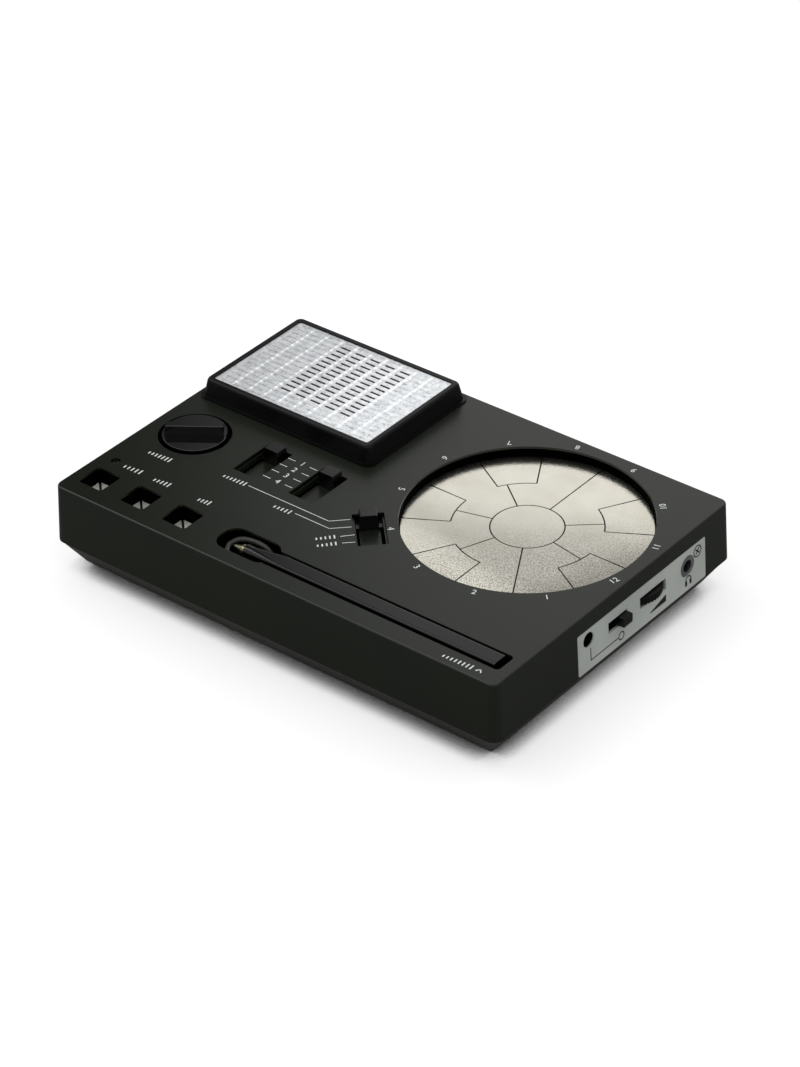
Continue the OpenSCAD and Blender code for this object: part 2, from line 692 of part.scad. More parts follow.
// A cap on the floor, with a foot, two legs in the slots and a bar that joins them below
module slider_cap() color("#141414") translate([0, (track_l - cap_l) / 2 - cap_offset, 0]) {
    half = track_land / 2 + leg_in + leg_t;
    foot_z = land_z + 0.1;
    top = case_h + cap_h;
    translate([0, 0, foot_z + 0.35]) cube([2 * half, cap_l, 0.7], center = true);
    rotate([90, 0, 0]) linear_extrude(cap_l - 0.2, center = true)
        polygon([[-cap_w / 2, foot_z], [cap_w / 2, foot_z], [cap_w / 2, case_h],
            [cap_w / 2 - 0.3, top - 0.25], [cap_w / 2 - 0.55, top], [0.55 - cap_w / 2, top],
            [0.3 - cap_w / 2, top - 0.25], [-cap_w / 2, case_h]]);
    for (s = [-1, 1]) translate([s * (half - leg_t / 2), 0, control_top + 0.7])
        translate([-leg_t / 2, 0.4 - cap_l / 2, 0])
            cube([leg_t, cap_l - 0.8, foot_z - control_top - 0.6]);
    translate([-half, 0.4 - cap_l / 2, control_top + 0.7]) cube([2 * half, cap_l - 0.8, 0.7]);
}

module slider_cap_a() translate(track_a) slider_cap();
module slider_cap_b() translate(track_b) slider_cap();
module slider_cap_c() translate(track_c) rotate(turn_c) slider_cap();

module tempo_knob() color("#181918") translate([knob_x, knob_y, 0]) difference() {
    disc_top = case_h + knob_rise;
    union() {
        translate([0, 0, case_h - knob_t]) cylinder(h = knob_t + knob_rise - 0.15, r = knob_r);
        translate([0, 0, disc_top - 0.15]) cylinder(h = 0.15, r1 = knob_r, r2 = knob_r - 0.15);
        translate([0, 0, case_h - 4.1]) cylinder(h = 2, r = hub_r);
        intersection() {
            translate([0, 0, case_h - 1])
                cylinder(h = grip_h + 2, r1 = knob_r - 0.6, r2 = knob_r - 1.1);
            rotate(knob_turn) rotate([90, 0, 90]) linear_extrude(3 * knob_r, center = true)
                polygon([[-1.45, case_h - 0.5], [1.45, case_h - 0.5], [1.2, case_h + grip_h - 0.2],
                    [1, case_h + grip_h], [-1, case_h + grip_h], [-1.2, case_h + grip_h - 0.2]]);
        }
    }
    translate([0, 0, case_h - 6]) cylinder(h = 5, r = shaft_r);
}

module tempo_shaft() color("silver") translate([knob_x, knob_y, 0])
    translate([0, 0, control_z - 4]) cylinder(h = case_h - 1 - control_z + 4, r = shaft_r);

module tempo_pot() color("#6f7275") translate([knob_x, knob_y, 0]) difference() {
    union() {
        translate([0, 0, control_z - 7]) cylinder(h = 7, r = 8);
        translate([0, 0, control_z - eps]) cylinder(h = board_t + 1, r = 3.6);
    }
    translate([0, 0, control_z - 4.2]) cylinder(h = 8, r = shaft_r + run);
}

module tempo_nut() color("#b9bbbd") translate([knob_x, knob_y, control_top]) difference() {
    cylinder(h = 1, r = 5.5, $fn = 6);
    translate([0, 0, -1]) cylinder(h = 3, r = 3.6);
}

module beat_led() color("#3c1210") translate([led_x, led_y, 0]) {
    translate([0, 0, control_top]) cylinder(h = case_h - 0.6 - control_top, r = led_r);
    translate([0, 0, case_h - 0.6]) cylinder(h = 0.4, r1 = led_r, r2 = led_r - 0.5);
    translate([0, 0, control_top]) cylinder(h = 0.8, r = led_r + 0.4);
}

module stylus_section(l) {
    rotate([90, 0, 90]) linear_extrude(l) round_rect(stylus_w, stylus_h, 0.7);
}

module stylus_body() color("#191a19") translate([0, bar_y, stylus_z]) difference() {
    union() {
        translate([bar_x0, 0, 0]) stylus_section(bar_x1 - bar_x0);
        hull() {
            translate([bar_x0, 0, 0]) stylus_section(0.1);
            translate([neck_x, 0, 0]) rotate([0, 90, 0]) cylinder(h = 0.1, r = 2, $fn = 32);
        }
        translate([tip_x, 0, 0]) rotate([0, 90, 0]) cylinder(h = neck_x - tip_x + eps, r = 2);
    }
    // Slot for the lead in the bar's underside
    translate([groove_x1 - 18, 0, -stylus_h / 2])
        cube([14, 2 * lead_r + 0.6, 2 * (stylus_h - 2.1)], center = true);
    translate([tip_x - 1, 0, 0]) rotate([0, 90, 0]) cylinder(h = 5, r = 1.2);
}

module stylus_tip() color("#c9a25a") translate([tip_x, bar_y, stylus_z]) rotate([0, -90, 0])
    rotate_extrude() polygon([[0, -4], [1.2, -4], [1.2, 0], [1.6, 0], [1.6, 1.2], [1.2, 1.6],
        [0.6, tip_l - 0.5], [0.3, tip_l], [0, tip_l]]);

// A tube of eight sides swept along a route that is rounded through its points
lead_sides = 8;
lead_fine = 3;
lead_points = [for (p = lead_route) [groove_x1 - p[0], bar_y + p[1], case_h + p[2]]];
function spline(p, i, t) = let (a = p[max(i - 1, 0)], b = p[i], c = p[i + 1],
    d = p[min(i + 2, len(p) - 1)])
    0.5 * (2 * b + t * (c - a) + t * t * (2 * a - 5 * b + 4 * c - d)
        + t * t * t * (3 * b - a - 3 * c + d));
lead_line = [for (i = [0:len(lead_points) - 2], k = [0:lead_fine - 1])
    spline(lead_points, i, k / lead_fine), lead_points[len(lead_points) - 1]];
function unit(v) = v / norm(v);
function heading(p, i) = unit(p[min(i + 1, len(p) - 1)] - p[max(i - 1, 0)]);

module stylus_lead() color("#101010") {
    n = len(lead_line);
    rings = [for (i = [0:n - 1]) let (
            t = i == n - 1 ? [0, 0, 1] : heading(lead_line, i),
            u = unit(cross(t, abs(t[1]) < 0.8 ? [0, 1, 0] : [1, 0, 0])), v = cross(t, u))
        for (k = [0:lead_sides - 1]) lead_line[i]
            + lead_r * (cos(360 * k / lead_sides) * u + sin(360 * k / lead_sides) * v)];
    polyhedron(points = rings, faces = concat(
        [[for (k = [0:lead_sides - 1]) k]],
        [[for (k = [lead_sides - 1:-1:0]) (n - 1) * lead_sides + k]],
        [for (i = [0:n - 2], k = [0:lead_sides - 1]) let (m = (k + 1) % lead_sides)
            [i * lead_sides + k, (i + 1) * lead_sides + k, (i + 1) * lead_sides + m,
                i * lead_sides + m]]));
}

module lead_grommet() color("#0e0e0e") translate([lead_in[0], lead_in[1], groove_floor]) difference() {
    union() {
        translate([0, 0, -trough_t]) cylinder(h = trough_t, r = 1.35);
        translate([0, 0, -trough_t - 0.8]) cylinder(h = 0.8, r = 2);
    }
    translate([0, 0, -4]) cylinder(h = 8, r = lead_r + 0.15);
}

module side_plate() color("#9fa39e") difference() {
    on_side(plate_y, plate_z) translate([-plate_sink - plate_t / 2, 0, 0])
        rotate([90, 0, 90]) linear_extrude(plate_t, center = true)
            round_rect(plate_l, plate_h, 0.6);
    on_side(line_y, line_z) rotate([0, 90, 0]) cylinder(h = 9, r = line_r + snug, center = true);
    on_side(phone_y, phone_z) rotate([0, 90, 0]) cylinder(h = 9, r = nose_r + 0.2, center = true);
    on_side(power_y, power_z) cube([9, power_slot, power_knob_h + 0.8], center = true);
    on_side(wheel_y, wheel_z) cube([9, window_w + 0.2, window_h], center = true);
}

// A plug socket that lies on the side board, with its mouth at x1 and a shoulder behind the plate
module jack(y, z, r, x1) translate([0, y, z]) difference() {
    union() {
        translate([side_x - 13.6, -jack_w / 2, side_top - z]) cube([13, jack_w, z - side_top + 3.4]);
        translate([side_x - 1, 0, 0]) rotate([0, 90, 0]) {
            cylinder(h = x1 - side_x + 1, r = r);
            cylinder(h = wall_t - shoulder_in + 1, r = shoulder_r);
        }
    }
    translate([side_x - 13.6 + 1.4, 0, 0]) rotate([0, 90, 0]) cylinder(h = 30, r = jack_r);
}

module line_jack() color("#131313") jack(line_y, line_z, line_r, right);
module headphone_jack() color("#8a8c8d") jack(phone_y, phone_z, nose_r, right + 0.25);

module power_switch() color("#85888a") difference() {
    translate([side_x - 6.6, power_y - power_slot / 2 - 1.2, side_top])
        cube([6, power_slot + 2.4, power_z - side_top + 3]);
    translate([side_x - 5.4, power_y - power_slot / 2, power_z - power_knob_h / 2 - 0.4])
        cube([9, power_slot, power_knob_h + 0.8]);
}

module power_knob() color("#101010") translate([side_x - 5.2,
    power_y + power_slot / 2 - 0.3 - power_knob_w, power_z - power_knob_h / 2])
    cube([wall_t + draft + 6.6, power_knob_w, power_knob_h]);

module volume_wheel() color("#121212") translate([wheel_x, wheel_y, wheel_z - wheel_t / 2])
    difference() {
        cylinder(h = wheel_t, r = wheel_r, $fn = 96);
        for (i = [0:44]) rotate(i * 8) translate([wheel_r + 0.15, 0, -1])
            cylinder(h = wheel_t + 2, r = 0.4, $fn = 16);
        translate([0, 0, -1]) cylinder(h = wheel_t + 2, r = 1.5);
    }

module volume_shaft() color("silver") translate([wheel_x, wheel_y, 0])
    translate([0, 0, side_top + 0.4]) cylinder(h = wheel_z + wheel_t / 2 + 0.5 - side_top - 0.4, r = 1.5);

module volume_pot() color("#35373a") translate([wheel_x, wheel_y, side_top]) difference() {
    cylinder(h = wheel_z - wheel_t / 2 - side_top - 0.25, r = 4);
    translate([0, 0, 0.2]) cylinder(h = 6, r = 1.5 + run);
}

module side_board() color("#1d5a38") translate([0, 0, side_board_z]) linear_extrude(board_t)
    difference() {
        translate([side_board_x0, side_board_y0])
            square([side_board_x1 - side_board_x0, side_board_y1 - side_board_y0]);
        for (p = side_posts) translate(p) circle(1.1);
    }

module side_board_screws() color("silver") for (p = side_posts)
    translate([p[0], p[1], 0]) screw(side_top, 0.9, board_t + 3, 1);

module main_board() color("#1d5a38") translate([0, 0, main_z]) linear_extrude(board_t)
    difference() {
        translate([main_x, main_y]) square([main_l, main_w], center = true);
        for (p = main_posts) translate(p) circle(1.1);
    }

module main_board_screws() color("silver") for (p = main_posts)
    translate([p[0], p[1], 0]) screw(main_z + board_t, 0.9, board_t + 1.6, 1);

module main_chip() color("#17181a") translate([main_x + 4, main_y + 2, main_z + board_t]) {
    translate([0, 0, 0.15]) linear_extrude(1.5) square(12, center = true);
    for (a = [0:90:270], i = [-5:5]) rotate(a) translate([6.4, i, 0])
        linear_extrude(0.6) square([1.2, 0.4], center = true);
}

module board_capacitors() color("#2b3a56") for (i = [0:2])
    translate([main_x - 13, main_y - 10 + 8 * i, main_z + board_t]) cylinder(h = 6, r = 2.8);

module ribbon_cable() color("#b8b8b0") translate([main_x + 16, main_y - 4, 0]) {
    translate([0, 0, main_z + board_t])
        linear_extrude(control_z - main_z - board_t) square([0.8, 14], center = true);
    for (z = [main_z + board_t, control_z - 2.4]) translate([0, 0, z])
        linear_extrude(2.4) square([3, 16], center = true);
}

// Places of the three cells, with the way that each one points
cells = [for (i = [0:2]) [bay_y0 + 0.4 + cell_pitch * (i + 0.5), i % 2 == 0 ? 1 : -1]];

module battery_cells() color("#3d6aa0") for (c = cells)
    translate([bay_x, c[0], cell_z]) rotate([0, 90, c[1] > 0 ? 0 : 180]) {
        translate([0, 0, -cell_l / 2 + 0.6]) cylinder(h = cell_l, r = cell_r);
        translate([0, 0, cell_l / 2 + 0.6]) cylinder(h = 0.8, r = 1.9);
    }

module battery_contacts() color("#d9dadb") for (c = cells, s = [-1, 1])
    translate([bay_x + s * (bay_l / 2 - 0.35), c[0], cell_z]) rotate([90, 0, 90])
        linear_extrude(0.5, center = true) round_rect(8.4, 8, 1);

// A conical coil spring of a few turns between a contact and a cell's flat end
spring_turns = 3;
spring_step = 30;
spring_wire = 0.35;
function spring_at(a, h) = let (r = 3.6 - 1.4 * a / (360 * spring_turns))
    [r * cos(a), r * sin(a), spring_wire + (h - 2 * spring_wire) * a / (360 * spring_turns)];

module coil(h) {
    n = 360 * spring_turns / spring_step;
    rings = [for (i = [0:n], k = [0:5]) let (a = i * spring_step, p = spring_at(a, h))
        p + spring_wire * [cos(a) * cos(60 * k), sin(a) * cos(60 * k), sin(60 * k)]];
    polyhedron(points = rings, faces = concat([[for (k = [0:5]) k]],
        [[for (k = [5:-1:0]) n * 6 + k]],
        [for (i = [0:n - 1], k = [0:5]) let (m = (k + 1) % 6)
            [i * 6 + k, (i + 1) * 6 + k, (i + 1) * 6 + m, i * 6 + m]]));
}

module battery_springs() color("#d9dadb") for (c = cells) {
    room = bay_l / 2 - 0.6 - (cell_l / 2 - 0.6);
    translate([bay_x - c[1] * (bay_l / 2 - 0.6), c[0], cell_z])
        rotate([0, c[1] * 90, 0]) coil(room - 0.05);
}

// The tray that covers the cells; it stands on the lower case's floor
module battery_tray() color("#232423") difference() {
    translate([bay_x, (bay_y0 + bay_y1) / 2])
        block(bay_l + 2 * bay_wall, bay_w + 2 * bay_wall, floor_z, bay_z1 + bay_wall);
    translate([bay_x, (bay_y0 + bay_y1) / 2]) block(bay_l, bay_w, floor_z - 1, bay_z1);
    translate([bay_x - bay_l / 2, bay_y0 + bay_wall, floor_z - 1])
        cube([bay_l, bay_w, 1 + seat + flange_t + 0.2]);
}

module battery_door() color("#1b1c1b") difference() {
    intersection() {
        tub();
        union() {
            translate([bay_x - door_w / 2, bay_y0 + door_gap, foot_h - 1])
                cube([door_w, case_w, base_t + 1 + seat + eps]);
            translate([bay_x - bay_l / 2 + door_gap, bay_y0 + bay_wall + door_gap - 0.6, door_z])
                cube([bay_l - 2 * door_gap, case_w, flange_t]);
        }
    }
    for (i = [0:4]) translate([bay_x, bay_y1 - 6 - 2.2 * i, foot_h])
        rotate([0, 90, 0]) cylinder(h = 16, r = 0.5, center = true, $fn = 24);
}

top_case();
bottom_case();
speaker_hood();
speaker_grille();
speaker_basket();
speaker_cone();
speaker_magnet();
speaker_screws();
touch_pads();
touch_board();
touch_board_screws();
control_board();
control_board_screws();
well_contacts();
slide_switch_a();
slide_switch_b();
slide_switch_c();
slider_cap_a();
slider_cap_b();
slider_cap_c();
tempo_knob();
tempo_shaft();
tempo_pot();
tempo_nut();
beat_led();
stylus_body();
stylus_tip();
stylus_lead();
lead_grommet();
side_plate();
line_jack();
headphone_jack();
power_switch();
power_knob();
volume_wheel();
volume_shaft();
volume_pot();
side_board();
side_board_screws();
main_board();
main_board_screws();
main_chip();
board_capacitors();
ribbon_cable();
battery_cells();
battery_contacts();
battery_springs();
battery_tray();
battery_door();
case_screws();
rubber_feet();
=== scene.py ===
import math
import bmesh
import bpy
import numpy as np
from mathutils import Matrix, Vector


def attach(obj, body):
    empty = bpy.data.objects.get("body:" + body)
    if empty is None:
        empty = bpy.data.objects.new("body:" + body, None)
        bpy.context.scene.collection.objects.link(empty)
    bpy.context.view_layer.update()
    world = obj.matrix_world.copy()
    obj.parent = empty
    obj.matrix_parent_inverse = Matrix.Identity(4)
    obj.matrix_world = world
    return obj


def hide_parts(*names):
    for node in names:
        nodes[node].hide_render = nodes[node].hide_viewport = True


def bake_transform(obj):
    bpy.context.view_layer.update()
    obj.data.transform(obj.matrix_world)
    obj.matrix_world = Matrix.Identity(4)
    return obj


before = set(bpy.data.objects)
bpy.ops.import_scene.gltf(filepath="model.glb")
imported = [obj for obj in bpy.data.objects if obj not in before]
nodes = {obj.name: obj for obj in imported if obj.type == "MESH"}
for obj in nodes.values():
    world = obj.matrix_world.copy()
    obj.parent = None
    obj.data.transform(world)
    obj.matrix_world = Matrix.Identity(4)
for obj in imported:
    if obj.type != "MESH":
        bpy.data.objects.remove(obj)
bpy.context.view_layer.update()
mm = 0.001
topZ = 27.0   # height of the top face, in millimetres
print("frame loaded")


# Materials

mixA, mixB, mixOut = 6, 7, 2   # a Mix node's sockets for colours
blendA, blendB = 2, 3          # and for plain numbers


def nodeGroup(name, inputs, outputs):
    group = bpy.data.node_groups.new(name, "ShaderNodeTree")
    for kind, label, value in inputs:
        socket = group.interface.new_socket(label, in_out="INPUT", socket_type=kind)
        if value is not None:
            socket.default_value = value
    for kind, label in outputs:
        group.interface.new_socket(label, in_out="OUTPUT", socket_type=kind)
    start = group.nodes.new("NodeGroupInput")
    end = group.nodes.new("NodeGroupOutput")
    return group, start, end


def wire(tree, a, b):
    tree.links.new(a, b)


# Fine moulded or pressed grain: a height made of two noises, turned into a normal.
grainShape = dict(fineDetail=3.0, coarseDetail=2.0, coarseScale=0.22)


def makeGrainGroup():
    group, start, end = nodeGroup(
        "surfaceGrain",
        [("NodeSocketFloat", "Size per metre", 1800.0), ("NodeSocketFloat", "Coarse share", 0.35),
         ("NodeSocketFloat", "Depth", 0.02 * mm), ("NodeSocketFloat", "Strength", 0.5)],
        [("NodeSocketVector", "Normal"), ("NodeSocketFloat", "Height")])
    coord = group.nodes.new("ShaderNodeTexCoord")
    fine = group.nodes.new("ShaderNodeTexNoise")
    fine.inputs["Detail"].default_value = grainShape["fineDetail"]
    coarse = group.nodes.new("ShaderNodeTexNoise")
    coarse.inputs["Detail"].default_value = grainShape["coarseDetail"]
    ratio = group.nodes.new("ShaderNodeMath")
    ratio.operation = "MULTIPLY"
    ratio.inputs[1].default_value = grainShape["coarseScale"]
    mix = group.nodes.new("ShaderNodeMix")
    bump = group.nodes.new("ShaderNodeBump")
    wire(group, coord.outputs["Object"], fine.inputs["Vector"])
    wire(group, coord.outputs["Object"], coarse.inputs["Vector"])
    wire(group, start.outputs["Size per metre"], fine.inputs["Scale"])
    wire(group, start.outputs["Size per metre"], ratio.inputs[0])
    wire(group, ratio.outputs[0], coarse.inputs["Scale"])
    wire(group, start.outputs["Coarse share"], mix.inputs[0])
    wire(group, fine.outputs["Fac"], mix.inputs[blendA])
    wire(group, coarse.outputs["Fac"], mix.inputs[blendB])
    wire(group, mix.outputs[0], bump.inputs["Height"])
    wire(group, start.outputs["Strength"], bump.inputs["Strength"])
    wire(group, start.outputs["Depth"], bump.inputs["Distance"])
    wire(group, bump.outputs["Normal"], end.inputs["Normal"])
    wire(group, mix.outputs[0], end.inputs["Height"])
    return group


# A colour that drifts between two tones, with darker specks.
toneShape = dict(driftDetail=4.0, driftRange=(0.35, 0.65), speckDetail=1.0,
                 speckShade=(0.35, 0.34, 0.32, 1))


def makeToneGroup():
    group, start, end = nodeGroup(
        "toneDrift",
        [("NodeSocketColor", "Tone A", (0.5, 0.5, 0.5, 1)),
         ("NodeSocketColor", "Tone B", (0.4, 0.4, 0.4, 1)),
         ("NodeSocketFloat", "Size per metre", 60.0), ("NodeSocketFloat", "Specks", 0.0),
         ("NodeSocketFloat", "Speck size per metre", 2500.0), ("NodeSocketFloat", "Speck start", 0.58),
         ("NodeSocketFloat", "Speck full", 0.72)],
        [("NodeSocketColor", "Color")])
    coord = group.nodes.new("ShaderNodeTexCoord")
    drift = group.nodes.new("ShaderNodeTexNoise")
    drift.inputs["Detail"].default_value = toneShape["driftDetail"]
    ramp = group.nodes.new("ShaderNodeMapRange")
    ramp.inputs["From Min"].default_value, ramp.inputs["From Max"].default_value = toneShape["driftRange"]
    mix = group.nodes.new("ShaderNodeMix")
    mix.data_type = "RGBA"
    speck = group.nodes.new("ShaderNodeTexNoise")
    speck.inputs["Detail"].default_value = toneShape["speckDetail"]
    speckRamp = group.nodes.new("ShaderNodeMapRange")
    amount = group.nodes.new("ShaderNodeMath")
    amount.operation = "MULTIPLY"
    darken = group.nodes.new("ShaderNodeMix")
    darken.data_type = "RGBA"
    darken.blend_type = "MULTIPLY"
    darken.inputs[mixB].default_value = toneShape["speckShade"]
    wire(group, coord.outputs["Object"], drift.inputs["Vector"])
    wire(group, start.outputs["Size per metre"], drift.inputs["Scale"])
    wire(group, drift.outputs["Fac"], ramp.inputs["Value"])
    wire(group, ramp.outputs[0], mix.inputs[0])
    wire(group, start.outputs["Tone A"], mix.inputs[mixA])
    wire(group, start.outputs["Tone B"], mix.inputs[mixB])
    wire(group, coord.outputs["Object"], speck.inputs["Vector"])
    wire(group, start.outputs["Speck size per metre"], speck.inputs["Scale"])
    wire(group, speck.outputs["Fac"], speckRamp.inputs["Value"])
    wire(group, start.outputs["Speck start"], speckRamp.inputs["From Min"])
    wire(group, start.outputs["Speck full"], speckRamp.inputs["From Max"])
    wire(group, speckRamp.outputs[0], amount.inputs[0])
    wire(group, start.outputs["Specks"], amount.inputs[1])
    wire(group, amount.outputs[0], darken.inputs[0])
    wire(group, mix.outputs[mixOut], darken.inputs[mixA])
    wire(group, darken.outputs[mixOut], end.inputs["Color"])
    return group


# A value that runs from one level to another along a direction in the part's own space.
def makeFadeGroup():
    group, start, end = nodeGroup(
        "spaceFade",
        [("NodeSocketVector", "Direction", (1.0, 0.0, 0.0)), ("NodeSocketFloat", "Start", 0.0),
         ("NodeSocketFloat", "End", 1.0), ("NodeSocketFloat", "Low", 1.0),
         ("NodeSocketFloat", "High", 1.0)],
        [("NodeSocketFloat", "Level")])
    coord = group.nodes.new("ShaderNodeTexCoord")
    along = group.nodes.new("ShaderNodeVectorMath")
    along.operation = "DOT_PRODUCT"
    share = group.nodes.new("ShaderNodeMapRange")
    share.interpolation_type = "SMOOTHSTEP"
    level = group.nodes.new("ShaderNodeMapRange")
    wire(group, coord.outputs["Object"], along.inputs[0])
    wire(group, start.outputs["Direction"], along.inputs[1])
    wire(group, along.outputs["Value"], share.inputs["Value"])
    wire(group, start.outputs["Start"], share.inputs["From Min"])
    wire(group, start.outputs["End"], share.inputs["From Max"])
    wire(group, share.outputs[0], level.inputs["Value"])
    wire(group, start.outputs["Low"], level.inputs["To Min"])
    wire(group, start.outputs["High"], level.inputs["To Max"])
    wire(group, level.outputs[0], end.inputs["Level"])
    return group


# A value that runs from one level to another outward from a centre.
def makeRimGroup():
    group, start, end = nodeGroup(
        "rimFade",
        [("NodeSocketVector", "Centre", (0.0, 0.0, 0.0)), ("NodeSocketFloat", "Inner", 0.0),
         ("NodeSocketFloat", "Outer", 1.0), ("NodeSocketFloat", "Low", 0.0),
         ("NodeSocketFloat", "High", 1.0)],
        [("NodeSocketFloat", "Level")])
    coord = group.nodes.new("ShaderNodeTexCoord")
    reach = group.nodes.new("ShaderNodeVectorMath")
    reach.operation = "DISTANCE"
    level = group.nodes.new("ShaderNodeMapRange")
    level.interpolation_type = "SMOOTHSTEP"
    wire(group, coord.outputs["Object"], reach.inputs[0])
    wire(group, start.outputs["Centre"], reach.inputs[1])
    wire(group, reach.outputs["Value"], level.inputs["Value"])
    wire(group, start.outputs["Inner"], level.inputs["From Min"])
    wire(group, start.outputs["Outer"], level.inputs["From Max"])
    wire(group, start.outputs["Low"], level.inputs["To Min"])
    wire(group, start.outputs["High"], level.inputs["To Max"])
    wire(group, level.outputs[0], end.inputs["Level"])
    return group


# Mask of the hollows under the top face: below a height and inside the case's outline. There the colour is
# painted near-black as shade.
hollowShadeReach = dict(below=26.35 * mm, halfSize=(73.8 * mm, 50.3 * mm, 0.0))


def makeHollowShadeGroup():
    group, start, end = nodeGroup(
        "hollowShadeMask",
        [("NodeSocketFloat", "Below", hollowShadeReach["below"]),
         ("NodeSocketVector", "Half size", hollowShadeReach["halfSize"])],
        [("NodeSocketFloat", "Mask")])
    coord = group.nodes.new("ShaderNodeTexCoord")
    split = group.nodes.new("ShaderNodeSeparateXYZ")
    limits = group.nodes.new("ShaderNodeSeparateXYZ")
    wire(group, coord.outputs["Object"], split.inputs[0])
    wire(group, start.outputs["Half size"], limits.inputs[0])
    under = group.nodes.new("ShaderNodeMath")
    under.operation = "LESS_THAN"
    wire(group, split.outputs["Z"], under.inputs[0])
    wire(group, start.outputs["Below"], under.inputs[1])
    mask = under.outputs[0]
    for axis in "XY":
        size = group.nodes.new("ShaderNodeMath")
        size.operation = "ABSOLUTE"
        inside = group.nodes.new("ShaderNodeMath")
        inside.operation = "LESS_THAN"
        both = group.nodes.new("ShaderNodeMath")
        both.operation = "MULTIPLY"
        wire(group, split.outputs[axis], size.inputs[0])
        wire(group, size.outputs[0], inside.inputs[0])
        wire(group, limits.outputs[axis], inside.inputs[1])
        wire(group, mask, both.inputs[0])
        wire(group, inside.outputs[0], both.inputs[1])
        mask = both.outputs[0]
    wire(group, mask, end.inputs["Mask"])
    return group


grainGroup = makeGrainGroup()
toneGroup = makeToneGroup()
fadeGroup = makeFadeGroup()
rimGroup = makeRimGroup()
hollowShadeGroup = makeHollowShadeGroup()


def linear(c):
    return tuple((v / 12.92 if v <= 0.04045 else ((v + 0.055) / 1.055) ** 2.4) for v in c) + (1.0,)


def addFade(tree, values):
    fade = tree.nodes.new("ShaderNodeGroup")
    fade.node_tree = fadeGroup
    for label, value in zip(("Direction", "Start", "End", "Low", "High"), values):
        fade.inputs[label].default_value = value
    return fade.outputs["Level"]


def addRim(tree, rim, levels):
    fade = tree.nodes.new("ShaderNodeGroup")
    fade.node_tree = rimGroup
    values = (rim["centre"], rim["inner"], rim["outer"], *levels)
    for label, value in zip(("Centre", "Inner", "Outer", "Low", "High"), values):
        fade.inputs[label].default_value = value
    return fade.outputs["Level"]


# What a look has unless it says otherwise.
plainLook = dict(specks=0.0, speckSize=2500.0, speckRange=(0.58, 0.72), fades=[], coarse=0.35,
                 metal=0.0, ior=1.47, specular=0.5, hollowShadeBelow=hollowShadeReach["below"])


def makeMaterial(name, look):
    look = {**plainLook, **look}
    material = bpy.data.materials.new(name)
    material.use_nodes = True
    tree = material.node_tree
    shader = tree.nodes["Principled BSDF"]
    tone = tree.nodes.new("ShaderNodeGroup")
    tone.node_tree = toneGroup
    tone.inputs["Tone A"].default_value = linear(look["toneA"])
    tone.inputs["Tone B"].default_value = linear(look["toneB"])
    tone.inputs["Size per metre"].default_value = look["driftSize"]
    tone.inputs["Specks"].default_value = look["specks"]
    tone.inputs["Speck size per metre"].default_value = look["speckSize"]
    tone.inputs["Speck start"].default_value = look["speckRange"][0]
    tone.inputs["Speck full"].default_value = look["speckRange"][1]
    grain = tree.nodes.new("ShaderNodeGroup")
    grain.node_tree = grainGroup
    grain.inputs["Size per metre"].default_value = look["grainSize"]
    grain.inputs["Coarse share"].default_value = look["coarse"]
    grain.inputs["Depth"].default_value = look["depth"]
    grain.inputs["Strength"].default_value = look["strength"]
    rough = tree.nodes.new("ShaderNodeMapRange")
    rough.inputs["To Min"].default_value, rough.inputs["To Max"].default_value = look["rough"]
    color, roughness = tone.outputs["Color"], rough.outputs[0]
    # Fades scale the colour; the touch plate and the grille use them as painted light and shade.
    levels = [addFade(tree, values) for values in look["fades"]]
    if "rim" in look:   # more mirror-like towards the edge
        levels.append(addRim(tree, look["rim"], look["rim"]["tone"]))
        wire(tree, addRim(tree, look["rim"], look["rim"]["metal"]), shader.inputs["Metallic"])
    for level in levels:
        scaled = tree.nodes.new("ShaderNodeVectorMath")
        scaled.operation = "SCALE"
        wire(tree, color, scaled.inputs[0])
        wire(tree, level, scaled.inputs["Scale"])
        color = scaled.outputs[0]
    if "specksGrow" in look:
        wire(tree, addFade(tree, look["specksGrow"]), tone.inputs["Specks"])
    # Painted shade: in the hollows the colour turns near-black, and the surface becomes full metal, so it
    # mirrors nothing, and fully rough.
    if "hollowShade" in look:
        hollowShade = tree.nodes.new("ShaderNodeGroup")
        hollowShade.node_tree = hollowShadeGroup
        hollowShade.inputs["Below"].default_value = look["hollowShadeBelow"]
        shaded = tree.nodes.new("ShaderNodeMix")
        shaded.data_type = "RGBA"
        shaded.inputs[mixB].default_value = linear(look["hollowShade"])
        matted = tree.nodes.new("ShaderNodeMath")
        matted.operation = "MAXIMUM"
        wire(tree, hollowShade.outputs["Mask"], shader.inputs["Metallic"])   # black metal mirrors nothing
        wire(tree, hollowShade.outputs["Mask"], shaded.inputs[0])
        wire(tree, color, shaded.inputs[mixA])
        wire(tree, hollowShade.outputs["Mask"], matted.inputs[0])
        wire(tree, roughness, matted.inputs[1])
        color = shaded.outputs[mixOut]
        roughness = matted.outputs[0]
    wire(tree, color, shader.inputs["Base Color"])
    wire(tree, grain.outputs["Height"], rough.inputs["Value"])
    wire(tree, roughness, shader.inputs["Roughness"])
    wire(tree, grain.outputs["Normal"], shader.inputs["Normal"])
    shader.inputs["Metallic"].default_value = look["metal"]
    shader.inputs["IOR"].default_value = look["ior"]
    shader.inputs["Specular IOR Level"].default_value = look["specular"]
    return material
